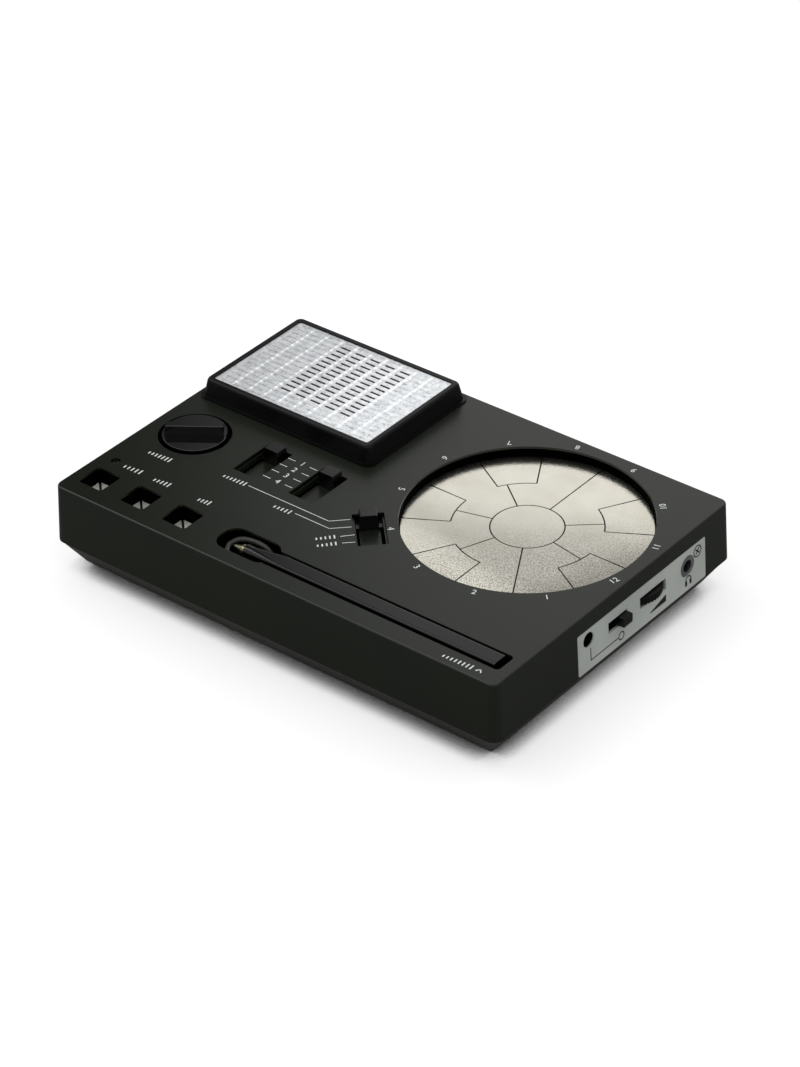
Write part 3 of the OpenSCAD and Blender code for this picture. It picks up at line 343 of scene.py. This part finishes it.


# Tones are display colours, sizes count per metre, depths are in metres. A fade holds its direction, where
# it starts and ends, and the levels there.
# The case's hollowShade colour is painted shade for the recesses under its top face.
caseLook = dict(
    toneA=(0.072, 0.092, 0.050), toneB=(0.063, 0.080, 0.044), driftSize=25, rough=(0.26, 0.36),
    grainSize=2600, depth=0.000012, strength=0.35, ior=1.46, hollowShade=(0.012, 0.012, 0.010))
looks = {
    "casePlastic": caseLook,
    # The switch frames get the same painted shade, below a lower height.
    "switchPlastic": dict(caseLook, hollowShadeBelow=0.0243),
    "basePlastic": dict(
        toneA=(0.290, 0.284, 0.279), toneB=(0.268, 0.262, 0.257), driftSize=25, rough=(0.4, 0.5),
        grainSize=2600, depth=0.000012, strength=0.35, specular=0.25),
    "hoodPlastic": dict(
        toneA=(0.018, 0.016, 0.020), toneB=(0.012, 0.010, 0.014), driftSize=60, rough=(0.24, 0.34),
        grainSize=2600, depth=0.00001, strength=0.3, specular=0.25),
    "blackPlastic": dict(
        toneA=(0.040, 0.040, 0.040), toneB=(0.028, 0.028, 0.028), driftSize=90, rough=(0.26, 0.38),
        grainSize=3200, depth=0.00001, strength=0.3, specular=0.35),
    "knobGloss": dict(
        toneA=(0.008, 0.008, 0.008), toneB=(0.005, 0.005, 0.005), driftSize=90, rough=(0.05, 0.09),
        grainSize=3200, depth=0.000004, strength=0.2, specular=0.8),
    "knobBlack": dict(
        toneA=(0.013, 0.014, 0.012), toneB=(0.009, 0.010, 0.008), driftSize=90, rough=(0.16, 0.24),
        grainSize=3200, depth=0.00001, strength=0.3, specular=0.5),
    "deepBlack": dict(
        toneA=(0.015, 0.015, 0.015), toneB=(0.010, 0.010, 0.010), driftSize=90, rough=(0.5, 0.65),
        grainSize=3200, depth=0.00001, strength=0.3, specular=0.08),
    # The touch plate's fades are painted light and shade: its colour is lighter towards the back left and
    # towards the front edge, and darker towards the right. Its colour is also a little darker in the middle
    # than at the rim.
    "touchMetal": dict(
        toneA=(0.955, 0.940, 0.890), toneB=(0.915, 0.900, 0.845), driftSize=110, rough=(0.13, 0.24),
        rim=dict(centre=(0.0366, 0.0129, 0.0240), inner=0.0245, outer=0.0300, metal=(0.50, 1.0),
                 tone=(0.885, 1.0)),
        grainSize=1500, coarse=0.55, depth=0.00010, strength=0.6, speckSize=2700,
        speckRange=(0.47, 0.60), specksGrow=((0.64, -0.77, 0.0), 0.004, 0.034, 0.02, 0.75),
        fades=[
            ((-0.42, 0.91, 0.0), -0.0130, 0.0120, 0.69, 0.95),
            ((0.2, 0.98, 0.0), -0.010, 0.004, 1.55, 1.0),
            ((0.94, -0.34, 0.0), 0.050, 0.062, 1.0, 0.70)]),
    # The grille's fades are painted light and shade: its colour is darker towards the left and near-black
    # down in its slots as painted shade. It is lighter on the ribs and brightest on the bead tops as
    # painted highlights.
    "grilleMetal": dict(
        toneA=(0.97, 0.98, 0.985), toneB=(0.86, 0.87, 0.885), driftSize=700, rough=(0.22, 0.42),
        metal=0.25, grainSize=1300, coarse=0.6, depth=0.00012, strength=0.8, specks=0.45,
        speckSize=1300,
        fades=[
            ((1.0, 0.0, 0.0), -0.066, -0.018, 0.76, 1.04),
            ((0.0, 0.0, 1.0), 0.03176, 0.03184, 0.03, 1.0),
            ((0.0, 0.0, 1.0), 0.03206, 0.03222, 0.94, 1.06),
            ((0.0, 0.0, 1.0), 0.03226, 0.03238, 1.0, 1.45)]),
    "contactMetal": dict(
        toneA=(0.90, 0.89, 0.85), toneB=(0.80, 0.79, 0.75), driftSize=150, rough=(0.25, 0.4), metal=0.3,
        grainSize=1800, depth=0.00004, strength=0.5),
    "steelMetal": dict(
        toneA=(0.72, 0.73, 0.74), toneB=(0.62, 0.63, 0.64), driftSize=120, rough=(0.22, 0.38),
        metal=1.0, grainSize=2400, depth=0.00002, strength=0.4),
    "darkMetal": dict(
        toneA=(0.42, 0.43, 0.43), toneB=(0.34, 0.35, 0.35), driftSize=120, rough=(0.32, 0.48),
        metal=0.6, grainSize=2400, depth=0.00002, strength=0.4),
    "brassMetal": dict(
        toneA=(0.62, 0.61, 0.50), toneB=(0.48, 0.47, 0.37), driftSize=400, rough=(0.2, 0.36), metal=1.0,
        grainSize=2600, depth=0.00002, strength=0.4),
    "plateGrey": dict(
        toneA=(0.655, 0.672, 0.652), toneB=(0.605, 0.622, 0.602), driftSize=60, rough=(0.34, 0.46),
        grainSize=2600, depth=0.00001, strength=0.3, specular=0.4),
    "boardGreen": dict(
        toneA=(0.05, 0.20, 0.12), toneB=(0.04, 0.15, 0.09), driftSize=160, rough=(0.3, 0.42),
        grainSize=1400, depth=0.00002, strength=0.4, specks=0.4, speckSize=900),
    "boardBlack": dict(
        toneA=(0.060, 0.064, 0.056), toneB=(0.045, 0.048, 0.042), driftSize=160, rough=(0.4, 0.5),
        grainSize=1400, depth=0.00002, strength=0.4, specular=0.25),
    "rubberBlack": dict(
        toneA=(0.050, 0.050, 0.050), toneB=(0.035, 0.035, 0.035), driftSize=150, rough=(0.42, 0.6),
        grainSize=3000, depth=0.00002, strength=0.5, specular=0.35),
    "leadRubber": dict(
        toneA=(0.20, 0.195, 0.185), toneB=(0.15, 0.145, 0.135), driftSize=500, rough=(0.22, 0.32),
        grainSize=3000, depth=0.00002, strength=0.4, specular=0.5),
    "paperCone": dict(
        toneA=(0.12, 0.12, 0.12), toneB=(0.08, 0.08, 0.08), driftSize=200, rough=(0.7, 0.9),
        grainSize=1500, depth=0.00005, strength=0.6),
    "lampRed": dict(
        toneA=(0.06, 0.022, 0.020), toneB=(0.045, 0.018, 0.016), driftSize=300, rough=(0.12, 0.2),
        grainSize=900, depth=0.00001, strength=0.2),
    "cellWrap": dict(
        toneA=(0.20, 0.38, 0.60), toneB=(0.17, 0.32, 0.54), driftSize=60, rough=(0.2, 0.3),
        grainSize=900, depth=0.00001, strength=0.2),
    "cableGrey": dict(
        toneA=(0.70, 0.70, 0.67), toneB=(0.62, 0.62, 0.60), driftSize=200, rough=(0.4, 0.55),
        grainSize=1800, depth=0.00003, strength=0.5),
    "canBlue": dict(
        toneA=(0.14, 0.20, 0.34), toneB=(0.11, 0.16, 0.28), driftSize=200, rough=(0.25, 0.35),
        grainSize=1800, depth=0.00001, strength=0.3),
    "printWhite": dict(
        toneA=(0.84, 0.86, 0.84), toneB=(0.76, 0.78, 0.76), driftSize=500, rough=(0.4, 0.55),
        grainSize=3000, depth=0.000005, strength=0.2),
    "printBlack": dict(
        toneA=(0.07, 0.07, 0.07), toneB=(0.05, 0.05, 0.05), driftSize=500, rough=(0.4, 0.55),
        grainSize=3000, depth=0.000005, strength=0.2),
}
materials = {name: makeMaterial(name, look) for name, look in looks.items()}

wearing = {
    "casePlastic": ["top_case"],
    "switchPlastic": ["slide_switch_a", "slide_switch_b", "slide_switch_c"],
    "basePlastic": ["bottom_case", "battery_door", "battery_tray"],
    "hoodPlastic": ["speaker_hood"],
    "blackPlastic": ["volume_wheel", "power_knob", "main_chip", "volume_pot"],
    "knobGloss": ["tempo_knob"],
    "knobBlack": ["stylus_body", "slider_cap_a", "slider_cap_b", "slider_cap_c"],
    "deepBlack": ["line_jack"],
    "touchMetal": ["touch_pads"],
    "grilleMetal": ["speaker_grille"],
    "contactMetal": ["well_contacts"],
    "steelMetal": ["speaker_magnet", "speaker_screws", "touch_board_screws", "control_board_screws",
                   "tempo_shaft", "tempo_nut", "power_switch", "volume_shaft", "side_board_screws",
                   "main_board_screws", "battery_contacts", "battery_springs", "case_screws",
                   "headphone_jack"],
    "darkMetal": ["speaker_basket", "tempo_pot"],
    "brassMetal": ["stylus_tip"],
    "plateGrey": ["side_plate"],
    "boardGreen": ["control_board", "side_board", "main_board"],
    "boardBlack": ["touch_board"],
    "rubberBlack": ["rubber_feet"],
    "leadRubber": ["stylus_lead", "lead_grommet"],
    "paperCone": ["speaker_cone"],
    "lampRed": ["beat_led"],
    "cellWrap": ["battery_cells"],
    "cableGrey": ["ribbon_cable"],
    "canBlue": ["board_capacitors"],
}
for name, members in wearing.items():
    for member in members:
        for slot in nodes[member].material_slots:
            slot.material = materials[name]
print("materials made")


# Printed marks: thin flat shapes that lie on the faces

def addPiece(name, mesh, material, body):
    obj = bpy.data.objects.new(name, mesh)
    bpy.context.scene.collection.objects.link(obj)
    mesh.materials.clear()
    mesh.materials.append(materials[material])
    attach(obj, body)
    return obj


# Thin prisms from flat outlines; place turns (u, v, height) into the part's own space in millimetres.
ink = dict(foot=0.003, top=0.025)


def printMesh(name, outlines, place):
    bm = bmesh.new()
    for outline in outlines:
        low = [bm.verts.new(Vector(place(u, v, ink["foot"])) * mm) for u, v in outline]
        high = [bm.verts.new(Vector(place(u, v, ink["top"])) * mm) for u, v in outline]
        n = len(outline)
        bm.faces.new(high)
        for i in range(n):
            bm.faces.new((low[i], low[(i + 1) % n], high[(i + 1) % n], high[i]))
    bmesh.ops.recalc_face_normals(bm, faces=bm.faces)
    mesh = bpy.data.meshes.new(name)
    bm.to_mesh(mesh)
    bm.free()
    return mesh


# A line of flat bars; each runs on by a quarter of its width so that the corners close.
def stroke(points, width):
    shapes = []
    for (x0, y0), (x1, y1) in zip(points[:-1], points[1:]):
        d = math.hypot(x1 - x0, y1 - y0)
        nx, ny = -(y1 - y0) / d * width / 2, (x1 - x0) / d * width / 2
        ex, ey = (x1 - x0) / d * width / 4, (y1 - y0) / d * width / 4
        shapes.append([(x0 - ex + nx, y0 - ey + ny), (x0 - ex - nx, y0 - ey - ny),
                       (x1 + ex - nx, y1 + ey - ny), (x1 + ex + nx, y1 + ey + ny)])
    return shapes


def bar(cx, cy, length, height, turn=0.0):
    c, s = math.cos(math.radians(turn)), math.sin(math.radians(turn))
    x, y = length / 2, height / 2
    corners = [(-x, -y), (x, -y), (x, y), (-x, y)]
    return [(cx + c * x - s * y, cy + s * x + c * y) for x, y in corners]


def ringShapes(cx, cy, r, width, sides=28):
    out = []
    low, high = r - width / 2, r + width / 2
    for i in range(sides):
        a, b = 2 * math.pi * i / sides, 2 * math.pi * (i + 1) / sides
        out.append([(cx + reach * math.cos(t), cy + reach * math.sin(t))
                    for reach, t in ((low, a), (high, a), (high, b), (low, b))])
    return out


def onTop(u, v, h):
    return (u, v, topZ + h)


# Digits are Blender's own plain font, turned into flat meshes.
digitShape = dict(sizePerHeight=1.42, steps=3, halfThick=0.011, lift=0.014)


def digitMesh(name, items, height):
    bm = bmesh.new()
    for label, x, y, turn in items:
        curve = bpy.data.curves.new(name + "Text", "FONT")
        curve.body = label
        curve.size = height * digitShape["sizePerHeight"]
        curve.align_x = "CENTER"
        curve.align_y = "CENTER"
        curve.resolution_u = digitShape["steps"]
        curve.extrude = digitShape["halfThick"]
        holder = bpy.data.objects.new(name + "Text", curve)
        bpy.context.scene.collection.objects.link(holder)
        bpy.context.view_layer.update()
        part = bpy.data.meshes.new_from_object(holder)
        shift = Matrix.Translation((x, y, topZ + digitShape["lift"]))
        part.transform(Matrix.Scale(mm, 4) @ shift @ Matrix.Rotation(math.radians(turn), 4, "Z"))
        bm.from_mesh(part)
        bpy.data.objects.remove(holder)
        bpy.data.curves.remove(curve)
        bpy.data.meshes.remove(part)
    mesh = bpy.data.meshes.new(name)
    bm.to_mesh(mesh)
    bm.free()
    return mesh


# Numbers round the touch plate, clockwise from the lower right
dial = dict(centre=(36.6, 12.9), radius=36.5, height=1.9, firstAngle=315.0, step=30.0, count=12)
items = []
for n in range(dial["count"]):
    angle = dial["firstAngle"] - dial["step"] * n
    a = math.radians(angle)
    items.append((str(n + 1), dial["centre"][0] + dial["radius"] * math.cos(a),
                  dial["centre"][1] + dial["radius"] * math.sin(a), angle + 90.0))
dialMesh = digitMesh("dialNumbers", items, dial["height"])
addPiece("dialNumbers", dialMesh, "printWhite", "case")

# Positions of the slide switches, and the lines that lead to the third one
switchMarks = dict(rows=(-3.3, -6.8, -10.2, -13.8), left=(-32.7, -30.2), right=(-25.0, -22.5), digitX=-27.6,
                   height=2.0)
items = [(str(i + 1), switchMarks["digitX"], y, 0.0) for i, y in enumerate(switchMarks["rows"])]
digits = digitMesh("switchDigits", items, switchMarks["height"])
addPiece("switchDigits", digits, "printWhite", "case")
guides = dict(width=0.20, lines=[
    [(-32.6, -20.0), (-4.5, -20.0), (-0.5, -16.0)], [(-14.0, -22.6), (-2.2, -22.6), (2.0, -18.5)],
    [(2.5, -23.6), (5.0, -20.8)], [(4.8, -25.7), (7.3, -23.3)]])
shapes = []
for y in switchMarks["rows"]:
    for x0, x1 in (switchMarks["left"], switchMarks["right"]):
        shapes += stroke([(x0, y), (x1, y)], guides["width"])
for guide in guides["lines"]:
    shapes += stroke(guide, guides["width"])
addPiece("guideLines", printMesh("guideLines", shapes, onTop), "printWhite", "case")

# Rows of small rising bars stand in for labels. A row is centre x, centre y, length, height, turn.
labels = dict(pitch=1.25, least=4, barWidth=0.42, lowest=0.45, rows=[
    (-61.4, -23.5, 8.2, 2.0, 0), (-63.0, -32.7, 6.6, 2.0, 0), (-52.4, -32.7, 6.0, 2.0, 0),
    (-37.2, -32.7, 4.4, 2.0, 0), (-37.4, -20.0, 8.2, 1.8, 0), (-18.0, -23.0, 6.2, 1.8, 0),
    (-0.4, -26.4, 6.0, 1.6, 45), (1.9, -28.6, 6.0, 1.6, 45), (61.0, -48.2, 9.8, 1.8, 0)],
    arrow=[(66.9, -48.6), (67.7, -47.6), (68.5, -48.6)], arrowWidth=0.34)
shapes = []
for cx, cy, length, height, turn in labels["rows"]:
    count = max(labels["least"], round(length / labels["pitch"]))
    c, s = math.cos(math.radians(turn)), math.sin(math.radians(turn))
    for i in range(count):
        u = -length / 2 + length * (i + 0.5) / count
        h = height * (labels["lowest"] + (1 - labels["lowest"]) * (i + 1) / count)
        v = (h - height) / 2
        shapes.append(bar(cx + c * u - s * v, cy + s * u + c * v, labels["barWidth"], h, turn))
shapes += stroke(labels["arrow"], labels["arrowWidth"])
addPiece("labelMarks", printMesh("labelMarks", shapes, onTop), "printWhite", "case")

# The right wall leans outward by run over drop; the side plate's face lies a little inside its line.
wall = dict(topX=75.0, run=0.85, drop=17.6, inset=0.15)
lean = math.atan2(wall["run"], wall["drop"])


def onSide(u, v, h):
    x = wall["topX"] + wall["run"] * (-v) / wall["drop"] - wall["inset"]
    return (x + h * math.cos(lean), u, topZ + v + h * math.sin(lean))


# Marks on the side plate: a line to a ring, a rising wedge, a ring with a cross, a pair of headphones
sideMarks = dict(
    leader=[(-11.5, -11.3), (-11.5, -15.0), (0.3, -15.0)], leaderWidth=0.3, ring=(1.8, -15.0, 1.15),
    wedge=[(14.6, -15.4), (21.8, -15.4), (21.8, -13.3), (14.6, -15.1)],
    cross=(36.4, -7.7), crossRing=1.65, crossArm=(2.3, 0.4), crossTurns=(45, -45),
    cups=[(31.0, -15.2), (33.0, -15.2)], cupSize=(0.9, 1.6),
    band=[(30.8, -14.2), (31.2, -13.5), (32.0, -13.2), (32.8, -13.5), (33.2, -14.2)], lineWidth=0.35)
shapes = stroke(sideMarks["leader"], sideMarks["leaderWidth"])
shapes += ringShapes(*sideMarks["ring"], sideMarks["lineWidth"])
shapes += [sideMarks["wedge"]]
shapes += ringShapes(*sideMarks["cross"], sideMarks["crossRing"], sideMarks["lineWidth"])
shapes += [bar(*sideMarks["cross"], *sideMarks["crossArm"], turn) for turn in sideMarks["crossTurns"]]
shapes += [bar(*cup, *sideMarks["cupSize"]) for cup in sideMarks["cups"]]
shapes += stroke(sideMarks["band"], sideMarks["lineWidth"])
addPiece("plateMarks", printMesh("plateMarks", shapes, onSide), "printBlack", "case")
print("marks placed")


# Stylus lead: a smooth round tube along the same route as its solid. A point is its distance from the
# groove's right end, from the bar's middle line and from the top face.
leadRoute = [[11.4, 0, -3.1], [14.4, 0, -3.5], [18.4, 0, -4.6], [22.4, 0, -5.4], [27.4, 0, -5.55],
             [37.4, 0, -5.55], [47.4, 0, -5.55], [57.4, 0, -5.55], [67.4, 0, -5.55], [75.4, 0, -5.55],
             [79.4, -0.6, -5.5], [82.9, -2.2, -4.9], [86, -3.4, -3.9], [88.6, -3.7, -3],
             [91.1, -2.6, -2.5], [92.2, 0, -2.2], [91.1, 2.6, -1.9], [88.6, 3.75, -1.7],
             [85, 3.9, -1.6], [82.2, 3.9, -2.3], [80.6, 3.9, -4.2], [80.4, 3.9, -6.6],
             [80.4, 3.9, -8.4], [80.4, 4.7, -10], [80.4, 6.6, -10.8], [80.4, 8.5, -10],
             [80.4, 9.3, -8.4], [80.4, 9.3, -7.4]]
lead = dict(radius=0.75, sides=16, fine=5, grooveEnd=71.4, barLine=-41.25)
points = [np.array([lead["grooveEnd"] - a, lead["barLine"] + b, topZ + c]) for a, b, c in leadRoute]


# Catmull-Rom curve through the points: its place at share t of the way from point i to the next.
def splinePoint(p, i, t):
    a, b, c, d = p[max(i - 1, 0)], p[i], p[i + 1], p[min(i + 2, len(p) - 1)]
    square, cube = 2 * a - 5 * b + 4 * c - d, 3 * b - a - 3 * c + d
    return 0.5 * (2 * b + t * (c - a) + t * t * square + t ** 3 * cube)


def sweepTube(name, line, radius, sides):
    bm = bmesh.new()
    rings = []
    around = [2 * math.pi * k / sides for k in range(sides)]
    side = None
    for i, p in enumerate(line):
        t = line[min(i + 1, len(line) - 1)] - line[max(i - 1, 0)]
        t = t / np.linalg.norm(t)
        if side is None:
            side = np.cross(t, [0, 1, 0])
        side = side - np.dot(side, t) * t
        side = side / np.linalg.norm(side)
        other = np.cross(t, side)
        spokes = [math.cos(a) * side + math.sin(a) * other for a in around]
        rings.append([bm.verts.new((p + radius * spoke) * mm) for spoke in spokes])
    for a, b in zip(rings[:-1], rings[1:]):
        for k in range(sides):
            bm.faces.new((a[k], b[k], b[(k + 1) % sides], a[(k + 1) % sides]))
    bm.faces.new(rings[0])
    bm.faces.new(list(reversed(rings[-1])))
    bmesh.ops.recalc_face_normals(bm, faces=bm.faces)
    for f in bm.faces:
        f.smooth = True
    mesh = bpy.data.meshes.new(name)
    bm.to_mesh(mesh)
    bm.free()
    return mesh


line = []
for i in range(len(points) - 1):
    line += [splinePoint(points, i, k / lead["fine"]) for k in range(lead["fine"])]
line.append(points[-1])
leadMesh = sweepTube("stylusLead", line, lead["radius"], lead["sides"])
leadMesh.materials.append(materials["leadRubber"])
leadObj = bpy.data.objects.new("stylusLead", leadMesh)
bpy.context.scene.collection.objects.link(leadObj)
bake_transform(leadObj)
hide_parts("stylus_lead")
print("lead swept")


# Camera, fitted to the edges of the case
view = dict(focal=3591.67, azimuth=0.691833446, elevation=0.606153311, roll=-0.0272826435, across=-2.85179,
            down=-10.84873, distance=963.0868, imageHeight=1067, sensor=36.0, nearest=0.01, farthest=50.0)
az, el, roll = view["azimuth"], view["elevation"], view["roll"]
back = np.array([math.sin(az) * math.cos(el), -math.cos(az) * math.cos(el), math.sin(el)])
right = np.cross(-back, [0, 0, 1])
right /= np.linalg.norm(right)
up = np.cross(right, -back)
right, up = math.cos(roll) * right + math.sin(roll) * up, -math.sin(roll) * right + math.cos(roll) * up
place = -(view["across"] * right + view["down"] * -up + view["distance"] * -back)
cameraData = bpy.data.cameras.new("camera")
cameraData.sensor_width = view["sensor"]
cameraData.sensor_fit = "AUTO"
cameraData.lens = view["focal"] / view["imageHeight"] * view["sensor"]
cameraData.clip_start = view["nearest"]
cameraData.clip_end = view["farthest"]
cameraObj = bpy.data.objects.new("camera", cameraData)
bpy.context.scene.collection.objects.link(cameraObj)


# World matrix from three axes and a place
def frameMatrix(x, y, z, place):
    return Matrix([(x[i], y[i], z[i], place[i]) for i in range(3)] + [(0, 0, 0, 1)])


cameraObj.matrix_world = frameMatrix(right, up, back, (place + np.array([0, 0, topZ])) * mm)
bpy.context.scene.camera = cameraObj
print("camera set")


# Floor, light and background
def flatMesh(name, w, h):
    mesh = bpy.data.meshes.new(name)
    mesh.from_pydata([(-w, -h, 0), (w, -h, 0), (w, h, 0), (-w, h, 0)], [], [(0, 1, 2, 3)])
    return mesh


# Bounce and mirrored are the floor's tone for matt and for shiny surfaces, glow is what brings it to white.
# The shift is a fade that deepens the contact shadow at the front and left, where the lamp throws none.
floorLook = dict(half=4.0, bounce=0.52, glow=0.53, mirrored=0.17, rough=0.9, contactReach=0.012,
                 contact=(0.225, 0.46), contactSamples=8, contactDarkest=0.03,
                 contactShift=((0.707, 0.707, 0.0), 0.0, 0.045, 0.0425, 0.0))
floorMesh = flatMesh("floor", floorLook["half"], floorLook["half"])
floorMaterial = bpy.data.materials.new("paleFloor")
floorMaterial.use_nodes = True
tree = floorMaterial.node_tree
floorShader = tree.nodes["Principled BSDF"]
rays = tree.nodes.new("ShaderNodeLightPath")
tint = tree.nodes.new("ShaderNodeMix")
tint.data_type = "RGBA"
tint.inputs[mixA].default_value = (floorLook["bounce"],) * 3 + (1,)
tint.inputs[mixB].default_value = (floorLook["mirrored"],) * 3 + (1,)
glow = tree.nodes.new("ShaderNodeMath")
glow.operation = "MULTIPLY"
glow.inputs[1].default_value = floorLook["glow"]
wire(tree, rays.outputs["Is Glossy Ray"], tint.inputs[0])
nearness = tree.nodes.new("ShaderNodeAmbientOcclusion")   # darkens the floor close under the case
nearness.inputs["Distance"].default_value = floorLook["contactReach"]
nearness.samples = floorLook["contactSamples"]
contact = tree.nodes.new("ShaderNodeMapRange")
contact.inputs["From Min"].default_value, contact.inputs["From Max"].default_value = floorLook["contact"]
contact.inputs["To Min"].default_value = floorLook["contactDarkest"]
darkened = tree.nodes.new("ShaderNodeVectorMath")
darkened.operation = "SCALE"
shifted = tree.nodes.new("ShaderNodeMath")
shifted.operation = "SUBTRACT"
wire(tree, nearness.outputs["AO"], shifted.inputs[0])
wire(tree, addFade(tree, floorLook["contactShift"]), shifted.inputs[1])
wire(tree, shifted.outputs[0], contact.inputs["Value"])
wire(tree, tint.outputs[mixOut], darkened.inputs[0])
wire(tree, contact.outputs[0], darkened.inputs["Scale"])
wire(tree, darkened.outputs[0], floorShader.inputs["Base Color"])
wire(tree, rays.outputs["Is Camera Ray"], glow.inputs[0])
dimmed = tree.nodes.new("ShaderNodeMath")
dimmed.operation = "MULTIPLY"
wire(tree, glow.outputs[0], dimmed.inputs[0])
wire(tree, contact.outputs[0], dimmed.inputs[1])
wire(tree, dimmed.outputs[0], floorShader.inputs["Emission Strength"])
floorShader.inputs["Emission Color"].default_value = (1, 1, 1, 1)
floorShader.inputs["Roughness"].default_value = floorLook["rough"]
floorShader.inputs["Specular IOR Level"].default_value = 0.0
floorMesh.materials.append(floorMaterial)
floor = bpy.data.objects.new("floor", floorMesh)
bpy.context.scene.collection.objects.link(floor)


def greyRamp(tree, source, stops):
    ramp = tree.nodes.new("ShaderNodeValToRGB")
    ramp.color_ramp.elements[0].position = stops[0][0]
    ramp.color_ramp.elements[0].color = (stops[0][1],) * 3 + (1,)
    ramp.color_ramp.elements[1].position = stops[-1][0]
    ramp.color_ramp.elements[1].color = (stops[-1][1],) * 3 + (1,)
    for position, shade in stops[1:-1]:
        ramp.color_ramp.elements.new(position).color = (shade,) * 3 + (1,)
    wire(tree, source, ramp.inputs["Fac"])
    return ramp.outputs["Color"]


# Position in a ramp is (height + 1) / 2. Matt lights matt surfaces, mirrored is what shiny ones show.
studio = dict(strength=1.0, seen=1.06, matt=((0.0, 0.9), (0.5, 0.92), (0.75, 1.0), (1.0, 1.05)),
              mirrored=((0.0, 0.1), (0.5, 0.18), (0.57, 0.36), (0.65, 0.64), (0.84, 0.76), (1.0, 0.85)))
world = bpy.data.worlds.new("studio")
bpy.context.scene.world = world
world.use_nodes = True
tree = world.node_tree
background = tree.nodes["Background"]
coord = tree.nodes.new("ShaderNodeTexCoord")
split = tree.nodes.new("ShaderNodeSeparateXYZ")
lift = tree.nodes.new("ShaderNodeMath")
lift.operation = "MULTIPLY_ADD"
lift.inputs[1].default_value = 0.5
lift.inputs[2].default_value = 0.5
wire(tree, coord.outputs["Generated"], split.inputs[0])
wire(tree, split.outputs["Z"], lift.inputs[0])
matt = greyRamp(tree, lift.outputs[0], studio["matt"])
mirrored = greyRamp(tree, lift.outputs[0], studio["mirrored"])
rays = tree.nodes.new("ShaderNodeLightPath")
shiny = tree.nodes.new("ShaderNodeMix")
shiny.data_type = "RGBA"
seen = tree.nodes.new("ShaderNodeMix")
seen.data_type = "RGBA"
wire(tree, rays.outputs["Is Glossy Ray"], shiny.inputs[0])
wire(tree, matt, shiny.inputs[mixA])
wire(tree, mirrored, shiny.inputs[mixB])
wire(tree, rays.outputs["Is Camera Ray"], seen.inputs[0])
wire(tree, shiny.outputs[mixOut], seen.inputs[mixA])
seen.inputs[mixB].default_value = (studio["seen"],) * 3 + (1,)
wire(tree, seen.outputs[mixOut], background.inputs["Color"])
background.inputs["Strength"].default_value = studio["strength"]

# A card that only shiny surfaces mirror: it fades out to the left and dims towards its top.
card = dict(distance=0.25, width=0.52, height=0.44, across=0.09, level=1.0,
            sideways=((0.0, 0.0), (0.15, 0.04), (0.25, 0.42), (0.33, 0.90), (0.42, 1.0), (1.0, 1.0)),
            upward=((0.0, 1.0), (0.30, 1.0), (0.47, 0.94), (0.60, 0.78), (0.78, 0.66), (1.0, 0.4)))
cardDir = np.array([-math.sin(az) * math.cos(el), math.cos(az) * math.cos(el), math.sin(el)])
cardSide = np.array([math.cos(az), math.sin(az), 0.0])
cardUp = np.cross(cardSide, cardDir)
cardPlace = np.array([0, 0, topZ * mm]) + card["distance"] * cardDir + card["across"] * cardSide
cardMesh = flatMesh("card", card["width"] / 2, card["height"] / 2)
cardMaterial = bpy.data.materials.new("cardGlow")
cardMaterial.use_nodes = True
tree = cardMaterial.node_tree
cardShader = tree.nodes["Principled BSDF"]
coord = tree.nodes.new("ShaderNodeTexCoord")
split = tree.nodes.new("ShaderNodeSeparateXYZ")
wire(tree, coord.outputs["Generated"], split.inputs[0])
product = tree.nodes.new("ShaderNodeMix")
product.data_type = "RGBA"
product.blend_type = "MULTIPLY"
product.inputs[0].default_value = 1.0
wire(tree, greyRamp(tree, split.outputs["X"], card["sideways"]), product.inputs[mixA])
wire(tree, greyRamp(tree, split.outputs["Y"], card["upward"]), product.inputs[mixB])
wire(tree, product.outputs[mixOut], cardShader.inputs["Emission Color"])
cardShader.inputs["Emission Strength"].default_value = card["level"]
cardShader.inputs["Base Color"].default_value = (0, 0, 0, 1)
cardShader.inputs["Specular IOR Level"].default_value = 0.0
cardMesh.materials.append(cardMaterial)
cardObj = bpy.data.objects.new("card", cardMesh)
bpy.context.scene.collection.objects.link(cardObj)
cardObj.matrix_world = frameMatrix(cardSide, cardUp, cardDir, cardPlace)
cardObj.visible_camera = False
cardObj.visible_diffuse = False
cardObj.visible_transmission = False
cardObj.visible_shadow = False

keyLook = dict(energy=1.2, size=0.5, place=(-0.55, -0.10, 0.85))
keyData = bpy.data.lights.new("key", "AREA")
keyData.energy = keyLook["energy"]
keyData.size = keyLook["size"]
key = bpy.data.objects.new("key", keyData)
bpy.context.scene.collection.objects.link(key)
key.location = keyLook["place"]
key.rotation_euler = (Vector(keyLook["place"]) * -1).to_track_quat("-Z", "Y").to_euler()
bpy.context.scene.view_settings.view_transform = "Standard"
bpy.context.scene.view_settings.look = "None"
print("stage lit")
